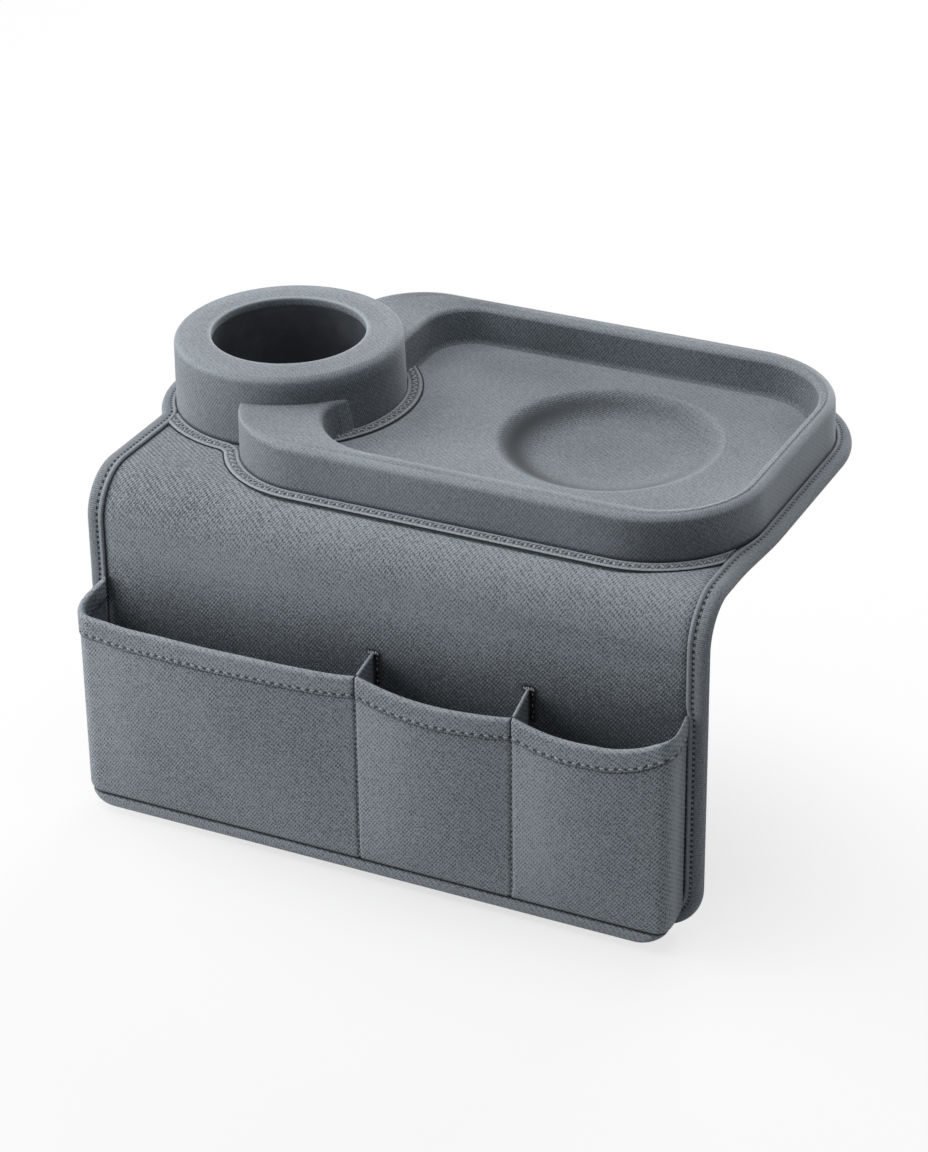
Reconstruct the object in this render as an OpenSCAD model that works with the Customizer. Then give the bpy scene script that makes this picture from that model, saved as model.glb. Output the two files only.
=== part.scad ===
// Sofa arm tray: a moulded tray and a cup drum, sewn on a padded panel that folds down over the
// front of a sofa arm as a flap with three pockets.
// X runs along the arm, Y across it and away from the flap, Z up. The origin lies on the underside
// of the panel, below the middle of the tray.

/* [Tray] */
// Length of the tray moulding along the arm
tray_l = 276; // [260:1:300]
// Width of the tray moulding across the arm
tray_w = 198; // [185:1:215]
// Height of the tray moulding above the panel
tray_h = 24.4; // [18:0.2:30]
// Corner radius at the drum end of the tray
tray_r_left = 50; // [46:1:56]
// Corner radius at the far end of the tray
tray_r_right = 56; // [50:1:64]
// How much further out each wall stands at its base
tray_draft = 0.5; // [0.2:0.1:1.2]
// Rounding of the outer top edge
tray_edge_r = 4; // [2.5:0.5:5]
// Thickness of the moulded cloth-faced sheet
shell_t = 1.2; // [0.8:0.1:1.6]

/* [Recess] */
// Width of the rim at the front
rim_front = 12.5; // [11:0.5:16]
// Width of the rim at the back
rim_back = 13; // [11:0.5:16]
// Width of the rim at the far end
rim_right = 8.5; // [8:0.5:12]
// Width of the rim at the drum end, most of it under the drum
rim_left = 44; // [40:1:50]
// Corner radius of the recess
recess_r = 43; // [38:1:46]
// Rounding of the rim's inner edge
rim_edge_r = 3; // [2:0.5:3.5]
// How much further in each recess wall stands at the floor
recess_draft = 1.5; // [0.5:0.1:2.5]
// Height of the recess floor above the panel
floor_h = 5.2; // [4:0.2:7]

/* [Dish] */
// Radius of the round dish where it meets the floor
dish_r = 58.5; // [50:0.5:62]
// Radius of the dish's flat bottom
dish_flat_r = 41; // [34:0.5:44]
// Depth of the dish below the recess floor
dish_depth = 9; // [8:0.1:9]
// Rounding of the dish's top edge
dish_edge_r = 2.5; // [1.5:0.1:4]
// Dish centre, from the middle of the tray towards the far end
dish_x = 35; // [25:1:45]
// Dish centre, from the middle of the tray towards the back
dish_y = 7.5; // [0:0.5:12]

/* [Cup drum] */
// Radius of the cup well
well_r = 40; // [36:0.5:42]
// Outer radius of the drum at its base
drum_r = 60; // [57:0.5:63]
// Height of the drum above the panel
drum_h = 38.9; // [34:0.1:46]
// How much narrower the drum is at its top
drum_draft = 0.8; // [0.2:0.1:1.5]
// Rounding of the drum's outer top edge
drum_edge_r = 4; // [2:0.5:6]
// Rounding at the mouth of the well
well_edge_r = 1; // [0.5:0.1:1.4]
// Height of the cloth-faced lip inside the well
lip_h = 4.7; // [3:0.1:8]
// Wall and floor of the black cup liner
liner_t = 1.5; // [1:0.1:2.5]
// How far the drum's axis lies past the end of the tray
drum_past_end = 1; // [-4:0.5:4]
// How far the drum's axis lies in front of the tray's middle
drum_forward = 6; // [0:0.5:9]

/* [Panel] */
// Thickness of the face cloth
face_t = 0.6; // [0.4:0.1:1]
// Thickness of the foam sheet
foam_t = 4.4; // [3:0.1:7]
// Thickness of the grippy lining underneath
lining_t = 0.6; // [0.4:0.1:1]
// Panel border beyond the base of the tray
tray_margin = 9; // [8.5:0.1:9.9]
// Panel border beyond the base of the drum
drum_margin = 8; // [7.8:0.1:9]
// Fillet where the drum's border runs into the others
border_fillet_r = 8; // [5:0.5:10]
// How far the flap runs past the tray at the drum end
flap_past_drum = 56; // [52:1:60]
// How far the flap's far end is drawn in from the border
flap_drawn_in = 3.5; // [1:0.5:6]
// Radius of the two arcs that draw it in
draw_in_r = 16; // [12:1:24]
// Distance from the bend to where the drawing in starts
draw_in_from_bend = 44; // [36:1:50]

/* [Binding] */
// Width of the edge binding
binding_w = 10.5; // [10:0.1:12]
// Thickness of the binding cloth
binding_t = 0.6; // [0.4:0.1:1]
// Width of the raised cord-like lip at the binding's inner edge
cord_w = 2.5; // [1.5:0.1:3]
// Height of that lip above the binding
cord_h = 0.5; // [0.3:0.1:1]
// Distance of the binding seam from the outer edge
binding_seam = 6.9; // [5:0.1:7]
// Width of the tape sewn round the foot of the mouldings
tape_w = 8; // [6:0.5:9]
// Thickness of that tape
tape_t = 0.8; // [0.5:0.1:1.2]
// Width of a sewn thread
thread_w = 0.6; // [0.4:0.1:0.9]
// Height that a thread stands above the cloth
thread_h = 0.3; // [0.2:0.1:0.5]

/* [Flap] */
// Inner radius of the bend over the edge of the arm
bend_r = 20; // [15:1:28]
// Distance from the tray's front to the start of the bend
bend_gap = 1; // [0:0.5:4]
// Length of the flap below the bend's centre
flap_drop = 154; // [130:1:180]
// Corner radius of the flap
flap_corner_r = 25; // [18:1:32]
// Angle by which the hanging flap stands out at the bottom, in degrees
flap_splay = 1.5; // [0:0.5:4]

/* [Pockets] */
// Depth of the pockets in front of the flap's face
pocket_depth = 22.4; // [18:0.2:30]
// Distance of the pockets from the ends of the flap
pocket_inset = 7.5; // [7.2:0.1:9]
// Radius of the pockets' upright corners
pocket_corner_r = 12; // [9:0.5:14]
// Thickness of the padded pocket wall
pocket_wall_t = 2.5; // [2:0.1:4]
// Height of the mouths at the seams, below the bend's centre
mouth_drop = 41; // [36:0.5:50]
// Sag of each mouth between its seams
mouth_sag = 3.5; // [0:0.5:8]
// Height of the side walls at the flap, below the bend's centre
side_drop = 31; // [28:0.5:34]
// Width of the turned hem
hem_w = 10; // [7:0.5:14]
// Thickness of the turned hem
hem_t = 0.8; // [0.5:0.1:1.2]
// Distance of the hem seam below the mouth
hem_seam = 9.2; // [6:0.1:9.4]
// First divider, from the pockets' end at the drum
divider_1 = 156.3; // [140:0.1:165]
// Second divider, from the pockets' end at the drum
divider_2 = 240.1; // [225:0.1:250]
// Thickness of the dividers
divider_t = 1.2; // [0.8:0.1:2]
// Thickness of the padded pocket floor
pocket_floor_t = 5.5; // [4:0.5:8]
// Distance of the pockets' underside from the flap's lower edge
pocket_lift = 4.5; // [2:0.5:6]
// Radius of the pockets' lower corners
pocket_foot_r = 10; // [7:0.5:12]
// Length of a bar tack
tack_l = 7; // [4:0.5:9]
// Height of a bar tack
tack_w = 1.6; // [1:0.1:2.5]

/* [Hidden] */
$fn = 96;
arc_steps = 12;
edge_steps = 5;
overrun = 1;
// Gap between a moulding and the piece cut to fit round it
fit_gap = 0.1;

tray_x0 = -tray_l / 2;
tray_x1 = tray_l / 2;
tray_y0 = -tray_w / 2;
tray_y1 = tray_w / 2;
panel_t = lining_t + foam_t + face_t;
tray_z = panel_t + tray_h;
floor_z = panel_t + floor_h;
drum_z = panel_t + drum_h;
drum_at = [tray_x0 - drum_past_end, -drum_forward];
dish_at = [dish_x, dish_y];

// Base outlines of the tray and of the recess, as [left, right, front, back]
tray_box = [tray_x0, tray_x1, tray_y0, tray_y1];
recess_box = [tray_x0 + rim_left, tray_x1 - rim_right, tray_y0 + rim_front, tray_y1 - rim_back];

bend_y = tray_y0 - bend_gap;
border_x0 = tray_x0 - tray_draft - tray_margin;
border_x1 = tray_x1 + tray_draft + tray_margin;
border_y1 = tray_y1 + tray_draft + tray_margin;
border_r_left = tray_r_left + tray_draft + tray_margin;
border_r_right = tray_r_right + tray_draft + tray_margin;
border_r_drum = drum_r + drum_margin;
flap_x0 = tray_x0 - flap_past_drum;
flap_x1 = border_x1 - flap_drawn_in;

face_r = bend_r + panel_t;
pocket_x0 = flap_x0 + pocket_inset;
pocket_x1 = flap_x1 - pocket_inset;
pocket_back = face_r + binding_t + cord_h;
pocket_front_at = face_r + pocket_depth;
pocket_foot = flap_drop - pocket_lift;
pocket_sole = pocket_foot - pocket_floor_t;
divider_x = [pocket_x0 + divider_1, pocket_x0 + divider_2];
mouth_x = [pocket_x0 + pocket_corner_r, divider_x[0], divider_x[1], pocket_x1 - pocket_corner_r];

// Points of an arc round a centre, from angle a0 to angle a1, without the last one if it runs on
function arc(centre, r, a0, a1, runs_on = false) =
    [for (k = [0:arc_steps - (runs_on ? 1 : 0)]) let (a = a0 + (a1 - a0) * k / arc_steps)
        centre + r * [cos(a), sin(a)]];

function angle_to(from, to) = atan2(to[1] - from[1], to[0] - from[0]);

// Centre of the circle of radius r that touches two circles from outside, on the left of a to b
function touching(a, ra, b, rb, r) =
    let (d = norm(b - a), u = (b - a) / d, pa = ra + r, pb = rb + r,
        along = (d * d + pa * pa - pb * pb) / (2 * d), off = sqrt(pa * pa - along * along))
    a + along * u + off * [-u[1], u[0]];

// Outline of the flat part of the panel, drawn in by i, its front edge moved out by over
left_corner = [border_x0 + border_r_left, border_y1 - border_r_left];
right_corner = [border_x1 - border_r_right, border_y1 - border_r_right];
back_fillet = touching(drum_at, border_r_drum, left_corner, border_r_left, border_fillet_r);
front_fillet = let (x = flap_x0 - border_fillet_r, reach = border_r_drum + border_fillet_r)
    [x, drum_at[1] - sqrt(reach * reach - (x - drum_at[0]) * (x - drum_at[0]))];
draw_in_angle = acos(1 - flap_drawn_in / (2 * draw_in_r));
draw_in_y = bend_y + draw_in_from_bend;

function panel_outline(i, over) = concat(
    [[flap_x0 + i, bend_y - over], [flap_x1 - i, bend_y - over]],
    arc([flap_x1 + draw_in_r, draw_in_y - 2 * draw_in_r * sin(draw_in_angle)],
        draw_in_r + i, 180, 180 - draw_in_angle, true),
    arc([border_x1 - draw_in_r, draw_in_y], draw_in_r - i, -draw_in_angle, 0),
    arc(right_corner, border_r_right - i, 0, 90),
    arc(left_corner, border_r_left - i, 90, angle_to(left_corner, back_fillet), true),
    arc(back_fillet, border_fillet_r + i, angle_to(back_fillet, left_corner),
        angle_to(back_fillet, drum_at), true),
    arc(drum_at, border_r_drum - i, angle_to(drum_at, back_fillet),
        angle_to(drum_at, front_fillet) + 360, true),
    arc(front_fillet, border_fillet_r + i, angle_to(front_fillet, drum_at), 0));

// Outline of the tape that goes round the front of both mouldings, w beyond their walls
tape_x0 = flap_x0 + binding_w;
tape_x1 = flap_x1 - binding_w;
front_left = [tray_x0 + tray_r_left, tray_y0 + tray_r_left];
front_right = [tray_x1 - tray_r_right, tray_y0 + tray_r_right];

function tape_outline(w) =
    let (r_drum = drum_r + w, r_left = tray_r_left + tray_draft + w,
        r_right = tray_r_right + tray_draft + w,
        r_in = border_fillet_r + tape_w - w,
        nook = touching(front_left, r_left, drum_at, r_drum, r_in))
    concat(
        [[tape_x0, drum_at[1]]],
        arc(drum_at, r_drum, 180 + acos((drum_at[0] - tape_x0) / r_drum),
            angle_to(drum_at, nook) + 360, true),
        arc(nook, r_in, angle_to(nook, drum_at), angle_to(nook, front_left), true),
        arc(front_left, r_left, angle_to(front_left, nook) + 360, 270),
        arc(front_right, r_right, 270, 360 - acos((tape_x1 - front_right[0]) / r_right)),
        [[tape_x1, front_right[1]], front_left]);

// Outline of the flap in its own plane, drawn in by i, its upper edge moved up by over
function flap_outline(i, over) = concat(
    [[flap_x0 + i, over]],
    arc([flap_x0 + flap_corner_r, flap_corner_r - flap_drop], flap_corner_r - i, 180, 270),
    arc([flap_x1 - flap_corner_r, flap_corner_r - flap_drop], flap_corner_r - i, 270, 360),
    [[flap_x1 - i, over]]);

// Outline of the pockets seen from above, drawn in by i, its open back moved by over
function pocket_plan(i, over) = concat(
    [[pocket_x0 + i, over - pocket_back]],
    arc([pocket_x0 + pocket_corner_r, pocket_corner_r - pocket_front_at],
        pocket_corner_r - i, 180, 270),
    arc([pocket_x1 - pocket_corner_r, pocket_corner_r - pocket_front_at],
        pocket_corner_r - i, 270, 360),
    [[pocket_x1 - i, over - pocket_back]]);

// Side of a wall with a rounded outer top edge, as [inset, height] from the base up, i inside it
function wall_side(i) = concat(
    [[i - tray_draft, panel_t]],
    [for (k = [0:edge_steps]) let (a = 90 * k / edge_steps, r = tray_edge_r - i)
        [i + r * (1 - cos(a)), tray_z - i - r * (1 - sin(a))]]);

// Side of the recess, from its floor up past the rim, with e of wall taken away round it
function recess_side(e) = concat(
    [[recess_draft - e, floor_z - e]],
    [for (k = [0:edge_steps]) let (a = 90 * k / edge_steps, r = rim_edge_r - e)
        [r * cos(a) - rim_edge_r, tray_z - rim_edge_r + r * sin(a)]],
    [[-rim_edge_r, tray_z + overrun]]);

// Surface of the dish from its middle out to the floor, lowered by e
dish_slope = 2 * atan(dish_depth / (dish_r - dish_flat_r));
dish_sweep_r = (dish_r - dish_flat_r) / sin(dish_slope) - dish_edge_r;
function dish_side(e) = concat(
    [[0, floor_z - dish_depth - e]],
    [for (k = [0:edge_steps]) let (a = dish_slope * k / edge_steps)
        [dish_flat_r + dish_sweep_r * sin(a),
            floor_z - dish_depth - e + dish_sweep_r * (1 - cos(a))]],
    [for (k = [edge_steps - 1:-1:0]) let (a = dish_slope * k / edge_steps)
        [dish_r - dish_edge_r * sin(a), floor_z - e - dish_edge_r * (1 - cos(a))]]);

// A block with round corners whose sides follow a list of [inset, height]
module rounded_block(box, r_left, r_right, side) {
    low = side[0][1];
    high = side[len(side) - 1][1];
    near = min(r_left, r_right);
    radii = [r_left, r_right, r_right, r_left];
    centres = [[box[0] + r_left, box[2] + r_left], [box[1] - r_right, box[2] + r_right],
        [box[1] - r_right, box[3] - r_right], [box[0] + r_left, box[3] - r_left]];
    depths = [near, r_right, near, r_left];
    for (k = [0:3]) {
        span = norm([for (j = [0:1]) (k % 2 == j) ? centres[(k + 1) % 4][j] - centres[k][j] : 0]);
        translate(centres[k]) rotate(180 + 90 * k) rotate_extrude(angle = 90)
            polygon(concat([[0, low]], [for (p = side) [radii[k] - p[0], p[1]]], [[0, high]]));
        translate(centres[k]) rotate(90 * k) translate([0, -radii[k], 0]) rotate([90, 0, 90])
            linear_extrude(span)
                polygon(concat([[depths[k], low]], side, [[depths[k], high]]));
    }
    translate([centres[0][0], box[2] + near, low])
        cube([centres[1][0] - centres[0][0], box[3] - box[2] - 2 * near, high - low]);
}

module drum_blank(extra) {
    translate([drum_at[0], drum_at[1], 0])
        rotate_extrude() polygon([[0, panel_t], [drum_r + extra, panel_t],
            [drum_r - drum_draft + extra, drum_z], [0, drum_z]]);
}

module dish_space(e) {
    translate([dish_at[0], dish_at[1], 0]) rotate_extrude()
        polygon(concat(dish_side(e), [[dish_r, tray_z], [0, tray_z]]));
}

module slice(z, t) {
    translate([0, 0, z]) linear_extrude(t) children();
}

// Everything that stands on the panel, with a gap round it
module mouldings(gap) {
    rounded_block(tray_box, tray_r_left, tray_r_right,
        [[-tray_draft - gap, panel_t - overrun], [-tray_draft - gap, tray_z]]);
    drum_cylinder(gap);
}

module drum_cylinder(gap) {
    translate([drum_at[0], drum_at[1], panel_t - overrun]) cylinder(r = drum_r + gap, h = drum_h);
}

module tray_shell() {
    color("#7d838a") difference() {
        union() {
            difference() {
                rounded_block(tray_box, tray_r_left, tray_r_right, wall_side(0));
                rounded_block(recess_box, recess_r, recess_r, recess_side(0));
                difference() {
                    rounded_block(tray_box, tray_r_left, tray_r_right, wall_side(shell_t));
                    rounded_block(recess_box, recess_r, recess_r, recess_side(shell_t));
                }
                translate([dish_at[0], dish_at[1], 0]) cylinder(r = dish_r, h = tray_z);
            }
            difference() {
                dish_space(shell_t);
                dish_space(0);
            }
        }
        drum_blank(fit_gap);
    }
}

module rim_core() {
    color("#4a4d50") difference() {
        rounded_block(tray_box, tray_r_left, tray_r_right, wall_side(shell_t));
        rounded_block(recess_box, recess_r, recess_r, recess_side(shell_t));
        floor_blank();
        drum_blank(fit_gap);
    }
}

module floor_blank() {
    e = recess_draft - shell_t;
    rounded_block(recess_box, recess_r, recess_r,
        [[e, panel_t - overrun], [e, floor_z - shell_t]]);
}

module floor_core() {
    color("#3f4245") difference() {
        floor_blank();
        slice(-overrun, panel_t + overrun) square(2 * tray_l, center = true);
        dish_space(shell_t);
        drum_blank(fit_gap);
    }
}

module drum_shell() {
    top_r = drum_r - drum_draft;
    edge = [for (k = [0:edge_steps]) let (a = 90 * k / edge_steps)
        [top_r - drum_edge_r * (1 - cos(a)), drum_z - drum_edge_r * (1 - sin(a))]];
    mouth = [for (k = [0:edge_steps]) let (a = 90 * k / edge_steps)
        [well_r + well_edge_r * (1 - sin(a)), drum_z - well_edge_r * (1 - cos(a))]];
    inner = [for (k = [edge_steps:-1:0]) let (a = 90 * k / edge_steps, r = drum_edge_r - shell_t)
        [top_r - drum_edge_r + r * cos(a), drum_z - drum_edge_r + r * sin(a)]];
    color("#7d838a") translate([drum_at[0], drum_at[1], 0]) rotate_extrude()
        polygon(concat([[drum_r, panel_t]], edge, mouth,
            [[well_r, drum_z - lip_h], [well_r + liner_t, drum_z - lip_h],
                [well_r + liner_t, drum_z - shell_t]],
            inner, [[drum_r - shell_t, panel_t]]));
}

module drum_core() {
    top_r = drum_r - drum_draft;
    edge = [for (k = [0:edge_steps]) let (a = 90 * k / edge_steps, r = drum_edge_r - shell_t)
        [top_r - drum_edge_r + r * cos(a), drum_z - drum_edge_r + r * sin(a)]];
    color("#4a4d50") translate([drum_at[0], drum_at[1], 0]) rotate_extrude()
        polygon(concat([[well_r + liner_t, panel_t], [drum_r - shell_t, panel_t]], edge,
            [[well_r + liner_t, drum_z - shell_t]]));
}

module cup_liner() {
    color("#1d1f22") translate([drum_at[0], drum_at[1], panel_t]) difference() {
        cylinder(r = well_r + liner_t, h = drum_h - lip_h);
        translate([0, 0, liner_t]) cylinder(r = well_r, h = drum_h);
    }
}

module tray_tape() {
    color("#8d9299") difference() {
        slice(panel_t, tape_t) polygon(tape_outline(tape_w));
        mouldings(fit_gap);
    }
}

module drum_ring(r0, r1, z, t) {
    intersection() {
        translate([drum_at[0], drum_at[1], z]) difference() {
            cylinder(r = r1, h = t);
            translate([0, 0, -overrun]) cylinder(r = r0, h = t + 2 * overrun);
        }
        rounded_block(recess_box, recess_r, recess_r,
            [[recess_draft + fit_gap, floor_z - overrun], [recess_draft + fit_gap, tray_z]]);
    }
}

module drum_tape() {
    color("#8d9299") drum_ring(drum_r + fit_gap, drum_r + tape_w, floor_z, tape_t);
}

module tray_tape_thread() {
    color("#b3b7bb") slice(panel_t + tape_t, thread_h) difference() {
        polygon(tape_outline((tape_w + thread_w) / 2));
        polygon(tape_outline((tape_w - thread_w) / 2));
    }
}

module drum_tape_thread() {
    middle = drum_r + tape_w / 2;
    color("#b3b7bb")
        drum_ring(middle - thread_w / 2, middle + thread_w / 2, floor_z + tape_t, thread_h);
}

module top_layer(z, t, inset = binding_t) {
    slice(z, t) polygon(panel_outline(inset, 0));
}

module top_face() {
    color("#80868d") difference() {
        top_layer(lining_t + foam_t, face_t);
        dish_space(shell_t);
    }
}

module top_foam() {
    color("#4a4d50") difference() {
        top_layer(lining_t, foam_t);
        dish_space(shell_t);
    }
}

module top_lining() {
    color("#2b2d30") top_layer(0, lining_t, binding_w);
}

// The binding's under side lies flush with the lining, which stops beside it, so that the seat is flat
module top_binding() {
    color("#8d9299") difference() {
        union() {
            slice(0, panel_t + binding_t) polygon(panel_outline(0, 0));
            slice(panel_t, binding_t + cord_h) polygon(panel_outline(binding_w - cord_w, 0));
        }
        slice(-binding_t, panel_t + 3 * binding_t + cord_h)
            polygon(panel_outline(binding_w, overrun));
        slice(lining_t, foam_t + face_t) polygon(panel_outline(binding_t, overrun));
        mouldings(fit_gap);
    }
}

module top_binding_thread() {
    color("#b3b7bb") slice(panel_t + binding_t, thread_h) difference() {
        polygon(panel_outline(binding_seam - thread_w / 2, 0));
        polygon(panel_outline(binding_seam + thread_w / 2, overrun));
    }
}

// A sector round the bend's centre, between two radii, from x0 to x1
module bend_layer(x0, x1, r0, r1) {
    translate([0, bend_y, -bend_r]) rotate([180, -90, 0])
        rotate_extrude(angle = 90 - flap_splay)
            translate([r0, x0]) square([r1 - r0, x1 - x0]);
}

module bend_sheet(r0, t, inset = binding_t) {
    bend_layer(flap_x0 + inset, flap_x1 - inset, r0, r0 + t);
}

module bend_face() {
    color("#80868d") bend_sheet(bend_r + lining_t + foam_t, face_t);
}

module bend_foam() {
    color("#4a4d50") bend_sheet(bend_r + lining_t, foam_t);
}

module bend_lining() {
    color("#2b2d30") bend_sheet(bend_r, lining_t, binding_w);
}

module bend_binding_end(edge, dir) {
    ends = [edge, edge + dir * binding_t, edge + dir * (binding_w - cord_w), edge + dir * binding_w];
    bend_layer(min(ends[0], ends[1]), max(ends[0], ends[1]), bend_r, face_r + binding_t);
    bend_layer(min(ends[0], ends[3]), max(ends[0], ends[3]), bend_r, bend_r + lining_t);
    bend_layer(min(ends[0], ends[3]), max(ends[0], ends[3]), face_r, face_r + binding_t);
    bend_layer(min(ends[2], ends[3]), max(ends[2], ends[3]), face_r, pocket_back);
}

module bend_binding() {
    color("#8d9299") {
        bend_binding_end(flap_x0, 1);
        bend_binding_end(flap_x1, -1);
    }
}

module bend_binding_thread() {
    color("#b3b7bb") for (x = [flap_x0 + binding_seam, flap_x1 - binding_seam])
        bend_layer(x - thread_w / 2, x + thread_w / 2, face_r + binding_t,
            face_r + binding_t + thread_h);
}

// Places what is drawn with the bend's centre as origin and the flap hanging straight down
module hang() {
    translate([0, bend_y, -bend_r]) rotate([-flap_splay, 0, 0]) children();
}

// An upright plate parallel to the flap, from depth d0 in front of the bend's centre
module upright(d0, t) {
    translate([0, -d0, 0]) rotate([90, 0, 0]) linear_extrude(t) children();
}

module flap_sheet(d0, t, inset = binding_t) {
    hang() upright(d0, t) polygon(flap_outline(inset, 0));
}

module flap_face() {
    color("#80868d") flap_sheet(bend_r + lining_t + foam_t, face_t);
}

module flap_foam() {
    color("#4a4d50") flap_sheet(bend_r + lining_t, foam_t);
}

module flap_lining() {
    color("#2b2d30") flap_sheet(bend_r, lining_t, binding_w);
}

module flap_binding() {
    color("#8d9299") hang() difference() {
        union() {
            upright(bend_r, panel_t + binding_t) polygon(flap_outline(0, 0));
            upright(face_r, binding_t + cord_h) polygon(flap_outline(binding_w - cord_w, 0));
        }
        upright(bend_r - binding_t, panel_t + 3 * binding_t + cord_h)
            polygon(flap_outline(binding_w, overrun));
        upright(bend_r + lining_t, foam_t + face_t) polygon(flap_outline(binding_t, overrun));
    }
}

module flap_binding_thread() {
    color("#b3b7bb") hang() upright(face_r + binding_t, thread_h) difference() {
        polygon(flap_outline(binding_seam - thread_w / 2, 0));
        polygon(flap_outline(binding_seam + thread_w / 2, overrun));
    }
}

// The pockets' wall between two insets, from the side walls' tops down to a drop
module pocket_tube(i0, i1, foot) {
    translate([0, 0, -foot]) linear_extrude(foot - side_drop) difference() {
        polygon(pocket_plan(i0, 0));
        polygon(pocket_plan(i1, overrun));
    }
}

// All that lies above the mouths when they are lowered by some drop
module above_mouths(drop) {
    seam_z = -mouth_drop - drop;
    top_z = seam_z + mouth_drop;
    turn_y = pocket_corner_r - pocket_front_at;
    translate([pocket_x0 - overrun, 0, 0]) rotate([90, 0, 90])
        linear_extrude(pocket_x1 - pocket_x0 + 2 * overrun)
            polygon([[overrun - pocket_back, -side_drop - drop], [overrun - pocket_back, top_z],
                [-pocket_front_at - overrun, top_z], [-pocket_front_at - overrun, seam_z],
                [turn_y, seam_z]]);
    for (k = [0:2]) upright(-turn_y, pocket_corner_r + overrun)
        polygon(concat([[mouth_x[k], top_z]],
            [for (j = [0:arc_steps]) let (part = j / arc_steps)
                [mouth_x[k] + (mouth_x[k + 1] - mouth_x[k]) * part,
                    seam_z - mouth_sag * sin(180 * part)]],
            [[mouth_x[k + 1], top_z]]));
}

// The pockets' outline from the front, with round lower corners
module pocket_silhouette() {
    upright(face_r, pocket_depth + overrun) polygon(concat([[pocket_x0, 0]],
        arc([pocket_x0 + pocket_foot_r, pocket_foot_r - pocket_foot], pocket_foot_r, 180, 270),
        arc([pocket_x1 - pocket_foot_r, pocket_foot_r - pocket_foot], pocket_foot_r, 270, 360),
        [[pocket_x1, 0]]));
}

module pocket_front() {
    color("#7a8087") hang() intersection() {
        difference() {
            pocket_tube(0, pocket_wall_t, pocket_sole);
            above_mouths(0);
        }
        pocket_silhouette();
    }
}

module pocket_hem() {
    color("#868c93") hang() difference() {
        intersection() {
            pocket_tube(pocket_wall_t, pocket_wall_t + hem_t, pocket_sole);
            above_mouths(hem_w);
        }
        above_mouths(0);
        for (k = [0:1]) divider_plate(k);
    }
}

// A divider from the flap to the pockets' wall, notched where it meets the flap's binding
module divider_plate(k) {
    front = pocket_wall_t - pocket_front_at;
    translate([divider_x[k] - divider_t / 2, 0, 0]) rotate([90, 0, 90]) linear_extrude(divider_t)
        difference() {
            polygon([[-face_r, -pocket_sole], [-face_r, hem_t - mouth_drop],
                [front, -mouth_drop], [front, -pocket_sole]]);
            translate([-pocket_back, -flap_drop]) square([pocket_back, binding_w]);
        }
}

module pocket_divider_left() {
    color("#747a81") hang() divider_plate(0);
}

module pocket_divider_right() {
    color("#747a81") hang() divider_plate(1);
}

module pocket_floor() {
    color("#7a8087") hang() intersection() {
        translate([0, 0, -pocket_foot]) linear_extrude(pocket_floor_t) polygon(pocket_plan(0, 0));
        pocket_silhouette();
    }
}

module hem_thread() {
    color("#b3b7bb") hang() difference() {
        intersection() {
            pocket_tube(-thread_h, 0, pocket_sole);
            above_mouths(hem_seam + thread_w / 2);
        }
        above_mouths(hem_seam - thread_w / 2);
    }
}

module divider_thread() {
    top = mouth_drop + hem_w;
    color("#b3b7bb") hang() for (x = divider_x)
        translate([x - thread_w / 2, -pocket_front_at - thread_h, -pocket_sole])
            cube([thread_w, thread_h, pocket_sole - top]);
}

module bar_tacks() {
    color("#b3b7bb") hang() for (x = divider_x)
        translate([x - tack_l / 2, -face_r - thread_h, 2 * tack_w - mouth_drop])
            cube([tack_l, thread_h, tack_w]);
}

tray_shell();
rim_core();
floor_core();
drum_shell();
drum_core();
cup_liner();
tray_tape();
drum_tape();
tray_tape_thread();
drum_tape_thread();
top_face();
top_foam();
top_lining();
top_binding();
top_binding_thread();
bend_face();
bend_foam();
bend_lining();
bend_binding();
bend_binding_thread();
flap_face();
flap_foam();
flap_lining();
flap_binding();
flap_binding_thread();
pocket_front();
pocket_hem();
pocket_divider_left();
pocket_divider_right();
pocket_floor();
hem_thread();
divider_thread();
bar_tacks();
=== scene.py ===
import bmesh
import bpy
import numpy as np
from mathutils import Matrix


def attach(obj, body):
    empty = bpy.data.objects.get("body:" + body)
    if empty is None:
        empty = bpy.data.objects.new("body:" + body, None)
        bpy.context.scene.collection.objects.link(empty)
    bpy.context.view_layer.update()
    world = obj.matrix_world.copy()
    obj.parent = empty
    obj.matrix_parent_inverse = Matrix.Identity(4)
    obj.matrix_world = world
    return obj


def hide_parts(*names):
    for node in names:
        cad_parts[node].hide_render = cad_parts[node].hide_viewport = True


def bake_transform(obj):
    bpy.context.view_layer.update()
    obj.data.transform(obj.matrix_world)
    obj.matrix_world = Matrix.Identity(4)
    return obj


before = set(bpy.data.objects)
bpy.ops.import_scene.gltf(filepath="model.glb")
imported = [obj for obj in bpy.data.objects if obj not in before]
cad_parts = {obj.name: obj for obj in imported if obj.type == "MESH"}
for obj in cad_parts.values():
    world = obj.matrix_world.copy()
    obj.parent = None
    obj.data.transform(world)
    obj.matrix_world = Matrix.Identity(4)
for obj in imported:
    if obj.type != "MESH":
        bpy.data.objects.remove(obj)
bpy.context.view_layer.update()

# Tray moulding. A sheet of grey twill is moulded over foam into one shell with an outer wall, a flat
# rim, a deep recess and a round dish in its floor. It is sewn down on the panel at its foot. Its left
# end runs into the cup drum, where it is cut away.
mm = 0.001
panel_t = 5.6
tray_box, tray_radii, tray_top = (-138, 138, -99, 99), (50, 56, 56, 42), 30
recess_box, recess_radii, recess_floor = (-94, 129.5, -86.5, 86), (43, 43, 43, 25), 10.8
dish_at, dish_r, dish_flat_r, dish_depth = np.array([35, 7.5]), 58.5, 28, 9.0
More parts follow.
